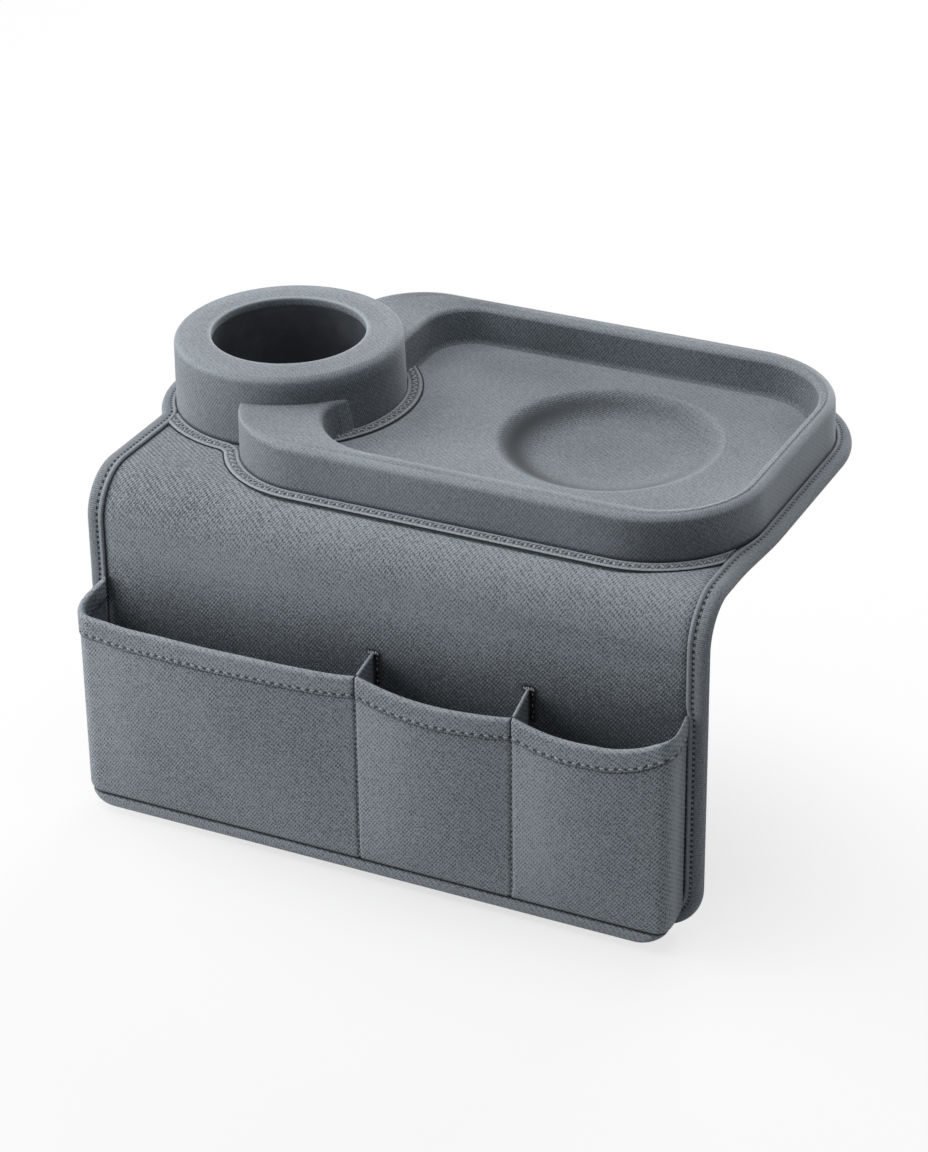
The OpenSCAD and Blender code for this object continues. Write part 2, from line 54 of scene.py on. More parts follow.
drum_at, drum_r, drum_top, well_r, cut_r = np.array([-139, -6]), 60, 44.5, 40, 52
twill_colour = (0.252, 0.280, 0.310)


def pair(x, y):
    """Points from their two coordinates, each of which may be a row, a column or a single value."""
    return np.stack(np.broadcast_arrays(x, y), -1)


def arc(centre, radius, start, end, count):
    """Points of an arc: centre + radius * (cos, sin), from one angle to another in radians."""
    angle = np.linspace(start, end, count)
    return np.asarray(centre) + radius * pair(np.cos(angle), np.sin(angle))


def rounded(box, radii, inset):
    """Loop of a rectangle with round corners, drawn in by inset. Each corner is an arc over a quarter
    turn, and each side a straight row between two corners."""
    x0, x1, y0, y1 = box
    a, b, c, d = radii
    centres = np.array([[x0 + a, y0 + a], [x1 - b, y0 + b], [x1 - c, y1 - c], [x0 + d, y1 - d]])
    corners = [arc(centres[k], radius - inset, np.pi * (1 + k / 2), np.pi * (1.5 + k / 2), 33)
               for k, radius in enumerate(radii)]
    loop = []
    for k, corner in enumerate(corners):
        share = np.linspace(0, 1, 34 if k % 2 else 54)[1:-1, None]
        loop += [corner, corner[-1] * (1 - share) + corners[(k + 1) % 4][0] * share]
    return closed(np.concatenate(loop))


def lifted(loop, z):
    """A flat loop of (x, y) points raised to z, which may vary along it."""
    return np.concatenate([loop, np.broadcast_to(z, len(loop))[:, None]], -1)


def closed(loop):
    """A loop with its first row repeated at its end."""
    return np.concatenate([loop, loop[:1]])


def bell(x, centre, width):
    """exp(-((x - centre) / width) ** 2): 1 at the centre, falling to nothing on both sides."""
    return np.exp(-((x - centre) / width) ** 2)


def ramp(x, start, end):
    """0 up to start, 1 from end on, and straight between; end may lie below start."""
    return np.clip((x - start) / (end - start), 0, 1)


def cells_of(rows, columns):
    """The four corners of each cell of a grid of points, as numbers of the points."""
    at = np.arange(rows * columns).reshape(rows, columns)
    return np.stack([at[:-1, :-1], at[:-1, 1:], at[1:, 1:], at[1:, :-1]], -1).reshape(-1, 4)


def placed(name, data):
    """A new object in the scene."""
    made = bpy.data.objects.new(name, data)
    bpy.context.scene.collection.objects.link(made)
    return made


def skin(name, patches, drop=None, turn=True):
    """Mesh piece from patches of (grid, weave, painted light): a grid of points in mm (rows, columns, 3),
    the cloth's own coordinates on it in mm (rows, columns, 2), and its painted light: painted highlight
    above 0, painted shade below 0. Each cell is a face. Points that fall together are merged, and the
    faces of a closed piece are turned outwards. drop is a test on the cells' middles for those left out."""
    grids, weaves, painted_lights, cells, start = [], [], [], [], 0
    for grid, weave, painted_light in patches:
        rows, columns = grid.shape[:2]
        cells.append(start + cells_of(rows, columns))
        grids.append(grid.reshape(-1, 3))
        weaves.append(weave.reshape(-1, 2))
        painted_lights.append(np.broadcast_to(painted_light, (rows, columns)).reshape(-1))
        start += rows * columns
    points, cells, weave, painted_light = map(np.concatenate, (grids, cells, weaves, painted_lights))
    if drop is not None:
        cells = cells[~drop(points[cells].mean(1))]
    mesh = bpy.data.meshes.new(name)
    mesh.from_pydata(points * mm, [], cells)
    mesh.uv_layers.new(name="weave").data.foreach_set("uv", weave[cells.ravel()].ravel().astype(np.float32))
    mesh.attributes.new("painted_light", "FLOAT", "POINT").data.foreach_set("value", painted_light.astype(np.float32))
    joined = bmesh.new()
    joined.from_mesh(mesh)
    bmesh.ops.remove_doubles(joined, verts=joined.verts, dist=1e-6)
    bmesh.ops.dissolve_degenerate(joined, edges=joined.edges, dist=1e-7)
    bmesh.ops.delete(joined, geom=[v for v in joined.verts if not v.link_faces], context="VERTS")
    if turn:
        bmesh.ops.recalc_face_normals(joined, faces=joined.faces)
    joined.to_mesh(mesh)
    joined.free()
    mesh.polygons.foreach_set("use_smooth", np.ones(len(mesh.polygons), bool))
    return placed(name, mesh)


def walked(rows):
    """Distance walked along a line, or across the rows of a grid, for each of its points."""
    step = np.linalg.norm(np.diff(rows, axis=0), axis=-1)
    return np.concatenate([0 * step[:1], np.cumsum(step, 0)])


def dressed(piece, surface, slot, body, *nodes):
    """Gives a piece its material, hides the model's parts that it stands for, and hangs it on the body that
    it rides on.
    """
    piece.data.materials.append(surface)
    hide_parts(*nodes)
    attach(piece, body)
    return piece


class Fibre:
    """A value in a material: the socket that gives it. Its operators add Math nodes."""

    def __init__(self, tree, socket=None):
        self.tree, self.socket = tree, socket

    def node(self, kind, settings=(), inputs=(), out=0):
        """Adds a node with these settings and inputs, and gives its output of that number."""
        made = self.tree.nodes.new(kind)
        for key, value in dict(settings).items():
            setattr(made, key, value)
        for key, value in dict(inputs).items():
            if isinstance(value, Fibre):
                self.tree.links.new(value.socket, made.inputs[key])
            else:
                made.inputs[key].default_value = value
        return Fibre(self.tree, made.outputs[out] if made.outputs else None)

    def math(self, operation, *values):
        """A Math node on these values."""
        return self.node("ShaderNodeMath", {"operation": operation}, dict(enumerate(values)))

    def __add__(self, other):
        return self.math("ADD", self, other)

    def __sub__(self, other):
        return self.math("SUBTRACT", self, other)

    def __rsub__(self, other):
        return self.math("SUBTRACT", other, self)

    def __mul__(self, other):
        return self.math("MULTIPLY", self, other)

    __radd__, __rmul__ = __add__, __mul__

    def parts(self):
        """The first two of these coordinates, each alone."""
        cut = self.node("ShaderNodeSeparateXYZ", (), {0: self})
        return cut, Fibre(self.tree, cut.socket.node.outputs[1])

    def wave(self, pitch, shift=0.0):
        """0 to 1 and back once in every pitch."""
        return self.math("SINE", self * float(2 * np.pi / pitch) + shift) * 0.5 + 0.5

    def between(self, low, high):
        """0 below low, 1 above high, and smooth between."""
        return self.node("ShaderNodeMapRange", {"interpolation_type": "SMOOTHSTEP"},
                         {0: self, 1: low, 2: high})

    def cloud(self, scale, detail=2.0, roughness=0.5):
        """Noise on these coordinates, from 0 to 1."""
        return self.node("ShaderNodeTexNoise", (), {"Vector": self, "Scale": scale, "Detail": detail,
                                                    "Roughness": roughness})

    def mixed(self, low, high):
        """The colour low where this is 0 and high where it is 1."""
        return self.node("ShaderNodeMix", {"data_type": "RGBA"}, {0: self, 6: low, 7: high}, out=2)

    def bump(self, strength, distance):
        """The surface's normal, bumped by this height. distance is in metres."""
        return self.node("ShaderNodeBump", (), {"Strength": strength, "Distance": distance,
                                                "Height": self})

    def cloth(self):
        """The piece's own coordinates on its cloth, in mm."""
        return self.node("ShaderNodeUVMap", {"uv_map": "weave"})

    def place(self):
        """The place on the object, in metres."""
        return self.node("ShaderNodeTexCoord", out=3)

    def painted_light(self):
        """The piece's painted light: painted highlight above 0, painted shade below 0."""
        return self.node("ShaderNodeAttribute", {"attribute_name": "painted_light"}, out=2)


def material(name):
    """A new material and the Fibre that its nodes are drawn from."""
    made = bpy.data.materials.new(name)
    made.use_nodes = True
    made.node_tree.nodes.clear()
    return made, Fibre(made.node_tree)


def finished(made, start, base, rough, bump, **fixed):
    """Ends a material: base colour, roughness and bump are drawn to the surface, the rest is fixed."""
    sheen = {"Sheen Weight": 0.0, "Sheen Roughness": 0.5, "Specular IOR Level": 0.3} | fixed
    surface = start.node("ShaderNodeBsdfPrincipled", (), {"Base Color": base, "Roughness": rough,
                                                          "Normal": bump} | sheen)
    start.node("ShaderNodeOutputMaterial", (), {"Surface": surface})
    return made


def tint(colour, share):
    """A colour made lighter or darker by a share, as a socket value."""
    return (*(min(1.0, c * share) for c in colour), 1.0)


def crease_shadowed(base, painted_light, colour):
    """A cloth's colour, painted nearly black as shadow in the creases, where its painted light lies far
    below 0.
    """
    return (painted_light * -1.0).between(1.2, 3.2).mixed(base, tint(colour, 0.04))


def needle_holes(u, v, seam_at, half, pitch, peak):
    """1 in the holes of a row of stitches, which the cloths darken as painted shade: at seam_at across
    the cloth, one in every pitch along it, counted from peak, and 0 away from them."""
    off = v - seam_at
    band = 1 - off.math("ABSOLUTE", off).between(half * 0.45, half)
    return band * u.wave(pitch, float(np.pi / 2 - 2 * np.pi * peak / pitch)).between(0.45, 0.9)


def twill_cloth(name, bold=0.85, cross=0.4, seam=None):
    """Woven twill: fine steep ribs, crossed by the yarns that float over them, on the piece's own cloth
    coordinates. The yarns are spun unevenly, so that ribs and floats wander. bold says how strongly they
    show, and cross how much of that is the floats'. Painted highlights lighten edges, painted shade
    darkens seams and needle holes, and painted shadow makes the deepest creases nearly black. seam is
    what needle_holes asks for."""
    pitch, slant, colour = 1.35, -0.62, twill_colour
    made, start = material(name)
    cloth = start.cloth()
    u, v = cloth.parts()
    spun, drift = cloth.cloud(1.0, 1.0, 0.5) * 2.1, cloth.cloud(0.012, 2.0, 0.5)
    across = u * float(np.cos(slant)) + v * float(np.sin(slant)) + spun
    along = v * float(np.cos(slant)) - u * float(np.sin(slant)) - spun
    ribs, floats = across.wave(pitch), along.wave(pitch * 1.6)
    painted_light = start.painted_light()
    shade = (ribs * 0.8 + floats * cross - (0.4 + cross / 2)) * bold + drift * 0.35 + painted_light * 0.3 + 0.33
    height = (ribs + floats * 0.5) * bold
    if seam:
        holes = needle_holes(u, v, *seam)
        shade, height = shade - holes * 1.1, height - holes
    base = crease_shadowed(shade.between(0.0, 1.0).mixed(tint(colour, 0.34), tint(colour, 1.72)), painted_light, colour)
    return finished(made, start, base, 0.96 - painted_light * 0.1, height.bump(0.35, 0.0003),
                    **{"Sheen Weight": 0.2, "Sheen Roughness": 0.45})


twill = twill_cloth("grey_twill")
moulded_twill = twill_cloth("moulded_twill", bold=0.42, cross=0.2)


def wall_with(edge):
    """(inset, height) up the outer wall and over its top edge, which is round with this radius."""
    wall = [(-0.5 + 0.5 * k, panel_t + (tray_top - edge - panel_t) * k) for k in (np.arange(10) / 9) ** 1.8]
    return wall + [*arc([edge, tray_top - edge], edge, np.pi, np.pi / 2, 10)[1:]]


def recess_loop(inset):
    """The recess's outline. Where it runs into the drum it sweeps out along the drum's wall."""
    loop = rounded(recess_box, recess_radii, inset)
    x, y = loop.T
    sweep = 5.8 * ramp(y, -60, -38) ** 2 * (1 - ramp(y, -20, 15))
    return loop + pair(sweep * (x < -60), 0)


rim_r, foot_r, slope = 3, 2.5, 1.28
rim_z, foot_z = tray_top - rim_r, recess_floor + foot_r
inner = [*arc([-rim_r, rim_z], rim_r, np.pi / 2, 0, 9)]
inner += [(slope * k, rim_z + (foot_z - rim_z) * k) for k in np.arange(1, 9) / 8]
inner += [*arc([slope + foot_r, foot_z], foot_r, np.pi, 1.5 * np.pi, 8)[1:]]
rows, painted_lights = [], []
# Painted light on the outer wall and rim: a painted highlight along the top edge, a dark painted shadow
# line at the wall's foot, and the rim a little lighter.
for (inset, z), (sharp_inset, sharp_z) in zip(wall_with(4), wall_with(1.4)):
    loop = lifted(rounded(tray_box, tray_radii, inset), z)
    tip = lifted(rounded(tray_box, tray_radii, sharp_inset), sharp_z)
    pinch = ramp(loop[:, :1], -98, -120) * (loop[:, 1:2] < 0)
    rows.append(loop * (1 - pinch) + tip * pinch)
    painted_lights.append(0.55 * bell(z, 29, 1.6) - 2.2 * bell(z - panel_t, 0.5, 1.2))
first_rim, last_rim = rows[-1], lifted(recess_loop(inner[0][0]), inner[0][1])
for share in np.linspace(0, 1, 14)[1:-1]:
    rows.append(first_rim * (1 - share) + last_rim * share + [0, 0, 0.45 * np.sin(np.pi * share)])
    painted_lights.append(0.1)
# Painted light in the recess: a painted highlight along its top edge and painted shade down its walls; its
# floor a little lighter.
for inset, z in inner:
    rows.append(lifted(recess_loop(inset), z))
    painted_lights.append(0.2 * bell(z, 29.6, 0.8) - 0.6 * (z < 28) * (z > recess_floor))
edge = rows[-1]
angle = np.arctan2(edge[:, 1] - dish_at[1], edge[:, 0] - dish_at[0])
spoke = pair(np.cos(angle), np.sin(angle))
for share in np.linspace(0, 1, 26)[1:]:
    ring = lifted(dish_at + dish_r * spoke, recess_floor)
    rows.append(edge * (1 - share) + ring * share)
    painted_lights.append(0.05)
fall = np.linspace(0, 1, 26)[1:]
drop = dish_depth * (1 - (1 - fall) ** 2.3) * 1.14 * fall / (fall + 0.14)
dish = list(zip(dish_r - (dish_r - dish_flat_r) * fall, recess_floor - drop))
dish += [(dish_flat_r * k, recess_floor - dish_depth) for k in np.linspace(1, 0, 16)[1:]]
# A painted highlight along the dish's lip.
for radius, z in dish:
    rows.append(lifted(dish_at + radius * spoke, z))
    painted_lights.append(0.3 * bell(z - recess_floor, -0.3, 0.5))
tray = np.stack(rows)
x, y, z = tray.transpose(2, 0, 1)
# the last rows of the outer wall, of the rim with its inner edge and of the recess wall
wall_end, rim_end, recess_end = 18, 32, 54
top_edge = np.s_[wall_end // 2:22]
rim_rows = np.s_[wall_end:rim_end + 1]
# More painted light: painted shade down the dish's wall, strongest on its left; painted shade at the front
# right below the rim; the tray's right end painted lighter on its outer wall and darker on its rim; the
# rim's back left and the top edge along the back painted darker.
painted_lights = np.array(painted_lights)[:, None] + 0 * z
shaded_side = 0.6 - 0.5 * np.cos(angle - 0.5)
dish_painted_shade = 2.0 * bell(z - recess_floor, -4.4, 3.0) * (z < recess_floor) * shaded_side
painted_lights[recess_end:] -= dish_painted_shade[recess_end:]
painted_lights = painted_lights - 0.45 * ramp(x, 60, 100) * ramp(y, -40, -80) * (z < 28)
to_right = ramp(x, 115, 135) * ramp(y, -85, -35)
painted_lights[:wall_end + 1] += (0.65 * to_right * ramp(z, 31, 28))[:wall_end + 1]
painted_lights[wall_end + 1:rim_end + 2] -= 0.3 * to_right[wall_end + 1:rim_end + 2]
painted_lights[rim_rows] -= (0.5 * ramp(x, -30, -70) * ramp(y, 50, 80))[rim_rows]
painted_lights[top_edge] -= (0.5 * ramp(y, 80, 92))[top_edge]
patches = []
for rows, wall in ((np.s_[:wall_end + 1], True), (rim_rows, False),
                   (np.s_[rim_end:recess_end + 1], True), (np.s_[recess_end:], False)):
    part = tray[rows]
    weave = pair(walked(part[len(part) // 2]), walked(part)) if wall else part[..., :2]
    patches.append((part, weave, painted_lights[rows]))
piece = skin("tray_moulding", patches, turn=False,
             drop=lambda middle: np.hypot(*(middle[:, :2] - drum_at).T) < cut_r)
piece.modifiers.new("cloth", "SOLIDIFY").thickness = 0.9 * mm
piece.modifiers["cloth"].offset = -1
dressed(piece, moulded_twill, "twill", "saddle", "tray_shell", "rim_core", "floor_core")

# Cup drum. The same twill is moulded over a foam ring. It stands at the tray's end, with a flat top,
# a soft outer edge and a short cloth lip that turns down into the well.
round_about = np.linspace(0, 2 * np.pi, 289)


def turned(profile, centre):
    """Surface of revolution: each (radius, height) of the profile is carried round the centre."""
    radius, height = np.array(profile).T[:, :, None]
    return np.stack([centre[0] + radius * np.cos(round_about), centre[1] + radius * np.sin(round_about),
                     height + 0 * round_about], -1)


edge, slope = 4.2, 0.8
profile = [(drum_r - slope * k, panel_t + (drum_top - edge - panel_t) * k)
           for k in (np.arange(13) / 12) ** 1.8]
profile += [*arc([drum_r - slope - edge, drum_top - edge], edge, 0, np.pi / 2, 10)[1:]]
lip_r, lip_end, lip_t = 1, 4.7, 1.6
rim_w = drum_r - slope - edge - well_r - lip_r
profile += [(well_r + lip_r + rim_w * k, drum_top + 0.25 * np.sin(np.pi * k))
            for k in np.linspace(1, 0, 9)[1:]]
profile += [*arc([well_r + lip_r, drum_top - lip_r], lip_r, np.pi / 2, np.pi, 6)[1:]]
profile += [(well_r, drum_top - lip_r - 3.3 * k) for k in (0.33, 0.66, 1)]
profile += [(well_r + 0.4, drum_top - lip_end), (well_r + lip_t, drum_top - lip_end),
            (well_r + lip_t, panel_t), (drum_r, panel_t)]
drum = turned(profile, drum_at)
height, radius = drum[..., 2], np.hypot(*(drum[..., :2] - drum_at).T).T
# Painted light on the drum: a painted highlight along its outer top edge and round the well's edge, a dark
# painted shadow line at its foot, and painted shade down the wall's right side.
painted_light = (0.5 * bell(height, 43, 1.4) * (radius > 50)
       - 2.8 * bell(height - panel_t, 0.5, 1.2)
       + 2.2 * bell(radius - well_r, 0.5, 0.45) * (height > drum_top - 1.2)
       - 0.7 * np.clip(2 * np.cos(round_about + 0.3) - 0.9, 0, 1) * (height < 40))
# the last rows of the drum's wall and of its flat top
wall_end, top_end = 21, 30
patches = []
for rows, round_r in ((np.s_[:wall_end + 1], drum_r), (np.s_[wall_end:top_end + 1], 0),
                      (np.s_[top_end:], well_r)):
    part = drum[rows]
    weave = pair(round_about * round_r, walked(part)) if round_r else part[..., :2]
    patches.append((part, weave, painted_light[rows]))
piece = dressed(skin("cup_drum", patches), moulded_twill, "twill", "saddle", "drum_shell", "drum_core")

# Cup liner. A black moulded cup stands in the drum, under the cloth lip. The plastic has a satin face
# with a faint moulded grain, and fine marks where cups have been set down.
made, start = material("black_liner")
place = start.place()
grain = place.cloud(1800.0, 2.0, 0.6)
marks = place.cloud(60.0, 4.0, 0.65)
base = marks.between(0.35, 0.75).mixed((0.054, 0.060, 0.069, 1), (0.084, 0.092, 0.104, 1))
finished(made, start, base, marks * 0.2 + 0.42, grain.bump(0.25, 0.0001), **{"Specular IOR Level": 0.5})
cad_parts["cup_liner"].data.materials.clear()
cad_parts["cup_liner"].data.materials.append(made)

# Seam tapes. A flat woven tape with two rolled edges covers the foot of both mouldings at the front,
# and a second one the foot of the drum inside the recess. A zigzag seam runs down the middle of each.
tape_w = 8
tape_x0, tape_x1, nook_r = -183.5, 133.5, 16
tray_left_r, tray_right_r = tray_radii[:2]
front_left = np.array([tray_box[0] + tray_left_r, tray_box[2] + tray_left_r])
front_right = np.array([tray_box[1] - tray_right_r, tray_box[2] + tray_right_r])


def heading(a, b):
    """The direction from a to b, in radians."""
    return np.arctan2(b[1] - a[1], b[0] - a[0])


def nestled(a, ra, b, rb, r):
    """Centre of the circle of radius r that touches two circles from outside, left of the line a to b."""
    gap = np.linalg.norm(b - a)
    ahead, pa, pb = (b - a) / gap, ra + r, rb + r
    along = (gap ** 2 + pa ** 2 - pb ** 2) / (2 * gap)
    return a + along * ahead + np.sqrt(pa ** 2 - along ** 2) * np.array([-ahead[1], ahead[0]])


def drum_line(w, half_turn=0.9):
    """The line w beyond the drum's wall, over the part of it that stands in the recess."""
    return arc(drum_at, drum_r + w, -half_turn, half_turn, 90)


def tape_line(w):
    """The line w beyond the walls: round the drum, through the nook, round the tray's front corners."""
    r_drum, r_in = drum_r + w, nook_r - w
    r_left, r_right = tray_left_r + 0.5 + w, tray_right_r + 0.5 + w
    nook = nestled(front_left, r_left, drum_at, r_drum, r_in)
    tau = 2 * np.pi
    return np.concatenate([
        arc(drum_at, r_drum, np.pi + np.arccos((drum_at[0] - tape_x0) / r_drum),
            heading(drum_at, nook) + tau, 60),
        arc(nook, r_in, heading(nook, drum_at), heading(nook, front_left), 24)[1:],
        arc(front_left, r_left, heading(front_left, nook) + tau, 1.5 * np.pi, 40)[1:],
        np.linspace(front_left - [0, r_left], front_right - [0, r_right], 130)[1:-1],
        arc(front_right, r_right, 1.5 * np.pi, tau - np.arccos((tape_x1 - front_right[0]) / r_right), 70)])


def tape_height(w):
    """Nearly flat between two low rolled edges, and falling to a thin selvedge at both sides."""
    roll = 0.45 + 0.25 * bell(w, 1.2, 0.8) + 0.3 * bell(w, 6.9, 0.7)
    return 0.4 + roll * np.sqrt(np.clip(1 - np.abs(2 * w / tape_w - 1) ** 20, 0, 1))


def plain(grid, painted_light):
    """A patch whose cloth isn't seen, such as a closing end, with the painted light that it is given."""
    return grid, np.zeros(grid.shape[:2] + (2,)), painted_light


def tape(name, line, z):
    """Carries the tape's section along its lines: each row is the line at one distance from the wall."""
    half = tape_w / 2
    face = half + (0.05 - half) * np.cos(np.linspace(0, np.pi, 25))
    # Beyond the outer edge a narrow skirt lies flat on the panel only to carry a painted shadow line.
    across = np.append(face, [tape_w + 0.05, tape_w + 0.7])
    grid = np.stack([lifted(line(w), z + tape_height(w)) for w in across])
    under = np.stack([grid[-1], grid[0]]) * [1, 1, 0] + [0, 0, z]
    ends = [np.stack([grid[:, k], grid[:, k] * [1, 1, 0] + [0, 0, z]]) for k in (0, -1)]
    weave = pair(walked(grid[12]), across[:, None])
    # Painted light: painted highlights on the rolled edges, painted shade down the middle and over the
    # whole tape in the recess, and near-black painted shadow lines along both edges and on the skirt.
    roll_highlights = bell(across, 1.2, 0.7) + bell(across, 6.9, 0.7)
    painted_light = 0.7 * roll_highlights - 5.0 * (across > tape_w - 0.1) - 4.0 * (across < 0.3)
    painted_light = painted_light - 0.4 * bell(across, half, 1.4) - 0.6 * (z > panel_t)
    return skin(name, [(grid, weave, painted_light[:, None])] + [plain(g, -1.0) for g in [under] + ends])


def woven_tape(name, colour, *seam):
    """Woven tape: fine ribs across its length, needle holes darkened as painted shade where it is sewn,
    and painted light: painted highlights, painted shade and near-black painted shadow.
    """
    made, start = material(name)
    cloth = start.cloth()
    u, v = cloth.parts()
    fuzz, grain = cloth.cloud(1.5, 3.0, 0.65), cloth.cloud(0.7, 2.0, 0.6)
    ribs = (u + fuzz * 0.4).wave(0.95) * (v.wave(0.8) * 0.5 + 0.5)
    holes = needle_holes(u, v, *seam)
    painted_light = start.painted_light()
    shade = ribs * 0.4 + fuzz * 1.2 + grain * 0.6 - holes * 1.5 + painted_light * 0.3 - 0.5
    base = crease_shadowed(shade.between(0.0, 1.0).mixed(tint(colour, 0.28), tint(colour, 1.6)), painted_light, colour)
    bump = (ribs * 0.5 + fuzz * 0.6 - holes * 0.8).bump(0.6, 0.0003)
    return finished(made, start, base, 0.95 - painted_light * 0.05, bump, **{"Sheen Weight": 0.2})


seam_tape = woven_tape("seam_tape", (0.33, 0.36, 0.397), 4.0, 2.4, 2.3, 1.0)
dressed(tape("front_seam_tape", tape_line, panel_t), seam_tape, "tape", "saddle", "tray_tape")
dressed(tape("drum_seam_tape", drum_line, recess_floor), seam_tape, "tape", "saddle", "drum_tape")

# Seams of the tapes. Light grey polyester thread runs in a close zigzag that holds each tape down.


def left_of(run):
    """Unit vectors that point to the left of these runs."""
    run = run / np.linalg.norm(run, axis=-1)[:, None]
    return pair(-run[:, 1], run[:, 0])


def threads(name, place, first, last, level, radius, lift):
    """One short bulged stitch from each point of first to the same of last. A stitch is a tube whose
    radius swells and closes as sqrt(sin) along it and which arches by lift; place takes it to xyz."""
    share, turn = np.linspace(0, 1, 6), np.linspace(0, 2 * np.pi, 7)
    run = last - first
    swell = np.broadcast_to(radius, len(first))[:, None] * np.sqrt(np.sin(np.pi * share)).round(6)
    centre = first[:, None] + run[:, None] * share[None, :, None]
    across = (swell[..., None] * np.cos(turn))[..., None] * left_of(run)[:, None, None]
    flat = centre[:, :, None] + across
    up = level + (lift * np.sin(np.pi * share))[:, None] + swell[..., None] * np.sin(turn)
    grid = place(flat[..., 0], flat[..., 1], up)
    weave = pair(share[:, None] * 6, turn)
    return skin(name, [(g, weave, 0.0) for g in grid])


def level_place(x, y, h):
    """A stitch's own place, where the cloth lies flat."""
    return np.stack([x, y, h], -1)


def points_at(spots, length, line):
    """Points of a line at these spots along it, where length holds the spots of its own points."""
    return pair(*(np.interp(spots, length, line[:, k]) for k in (0, 1)))


def zigzag(line, pitch, half):
    """Ends of the stitches that run from side to side of a line, half of its width either way."""
    length = walked(line)
    at = np.arange(1, length[-1] - 1, pitch)
    spot = points_at(at, length, line)
    side = left_of(points_at(at + 0.5, length, line) - spot)
    corner = spot + side * half * (1 - 2 * (np.arange(len(spot)) % 2))[:, None]
    return corner[:-1], corner[1:]


made, start = material("grey_thread")
along, turn = start.cloth().parts()
ply = (along + turn * 0.8).wave(1.1)
base = ply.mixed((0.40, 0.43, 0.465, 1), (0.72, 0.755, 0.79, 1))
thread = finished(made, start, base, 0.85 - ply * 0.1, ply.bump(0.4, 0.0001), **{"Sheen Weight": 0.2})
for name, line, level, node in (
        ("front_tape_seam", tape_line(tape_w / 2), panel_t, "tray_tape_thread"),
        ("drum_tape_seam", drum_line(tape_w / 2, 0.87), recess_floor, "drum_tape_thread")):
    piece = threads(name, level_place, *zigzag(line, 2.3, 1.45), level + 0.85, 0.4, 0.2)
    dressed(piece, thread, "thread", "saddle", node)

# Panel. Grey twill on top, a foam sheet, and a dark grippy lining underneath lie flat on the sofa's
# arm, bend over its edge and hang down as the flap. All are one length each. They are made here laid
# out flat, as x, the distance t across the arm and on down the flap, and the height h above the
# lining, and are then wrapped over the bend.
bend_y, bend_r, splay = -100, 20, np.radians(1.5)
bend_turn = np.pi / 2 - splay
bend_length = (bend_r + panel_t / 2) * bend_turn
flap_from = bend_y - bend_length
flap_x0, flap_x1, flap_drop, flap_corner_r = -192.8, 144, 154, 25
border_x1 = 146.75
border, back_left_r, back_right_r = 8, 51.5, 65.5
divider_x, gusset_top = np.array([-30.2, 53.6]), 38.2
binding_w, least_w, flap_left_w, flap_right_w = 10.5, 7.8, 9.4, 8.7


def wrapped(x, t, h):
    """Laid-out points on the object: level until the bend, then round its centre, then straight down
    along the flap, which hangs splay away from upright."""
    turn = np.clip((bend_y - t) / (bend_r + panel_t / 2), 0, bend_turn)
    level, down = np.maximum(t, bend_y), np.maximum(flap_from - t, 0)
    radius = bend_r + h
    y = level - radius * np.sin(turn) - down * np.sin(splay)
    z = radius * np.cos(turn) - bend_r - down * np.cos(splay)
    return np.stack([x + 0 * y, y, z], -1)


def eased(share):
    """A share from 0 to 1 that starts and ends softly: 3 s^2 - 2 s^3."""
    return share ** 2 * (3 - 2 * share)


def panel_outline():
    """The panel's edge laid out flat, anticlockwise: flap, far side, back, round the drum and back."""
    tau, round_drum = 2 * np.pi, drum_r + border
    foot = flap_from - flap_drop + flap_corner_r
    left, right = np.array([-96, 57]), np.array([border_x1 - back_right_r, 43])
    share = np.linspace(0, 1, 40)
    waist = pair(flap_x1 + (border_x1 - flap_x1) * eased(share), -86 + 48 * share)
    back = nestled(drum_at, round_drum, left, back_left_r, border)
    x = flap_x0 - border
    front = np.array([x, drum_at[1] - np.sqrt((round_drum + border) ** 2 - (x - drum_at[0]) ** 2)])
    line = closed(np.concatenate([
        arc([flap_x0 + flap_corner_r, foot], flap_corner_r, np.pi, 1.5 * np.pi, 30),
        arc([flap_x1 - flap_corner_r, foot], flap_corner_r, 1.5 * np.pi, tau, 30),
        waist,
        arc(right, back_right_r, 0, np.pi / 2, 60),
        arc(left, back_left_r, np.pi / 2, heading(left, back), 50),
        arc(back, border, heading(back, left), heading(back, drum_at), 20),
        arc(drum_at, round_drum, heading(drum_at, back), heading(drum_at, front) + tau, 90),
        arc(front, border, heading(front, drum_at), 0, 20)]))
    length = walked(line)
    keep = np.diff(length, prepend=-1) > 1e-6
    return points_at(np.linspace(0, length[-1], 1001), length[keep], line[keep])


outline = panel_outline()
ring = outline[:-1]
inward = left_of(np.roll(ring, -2, 0) - np.roll(ring, 2, 0))
corner = np.where((ring[:, 0] < 0) & (ring[:, 1] > 0), tray_radii[3], 53)
beyond = np.maximum(np.abs(ring) - [tray_box[1], tray_box[3]] + corner[:, None], 0)
near_wall = np.minimum(np.linalg.norm(ring - drum_at, axis=-1) - drum_r,
                       np.linalg.norm(beyond, axis=-1) - corner - 0.5)
room = np.clip(near_wall - 0.1, least_w, binding_w)
flap_room = np.where(ring[:, 0] > 0, flap_right_w, flap_left_w)
room = np.where(ring[:, 1] < flap_from - 32, flap_room, room)
for _ in range(6):
    room = (np.roll(room, 1) + room + np.roll(room, -1)) / 3
inward, room, girth = closed(inward), closed(room), walked(outline)


def drawn_in(inset):
    """The panel's outline, drawn in by inset, which may vary along it."""
    return outline + inward * np.broadcast_to(inset, room.shape)[:, None]


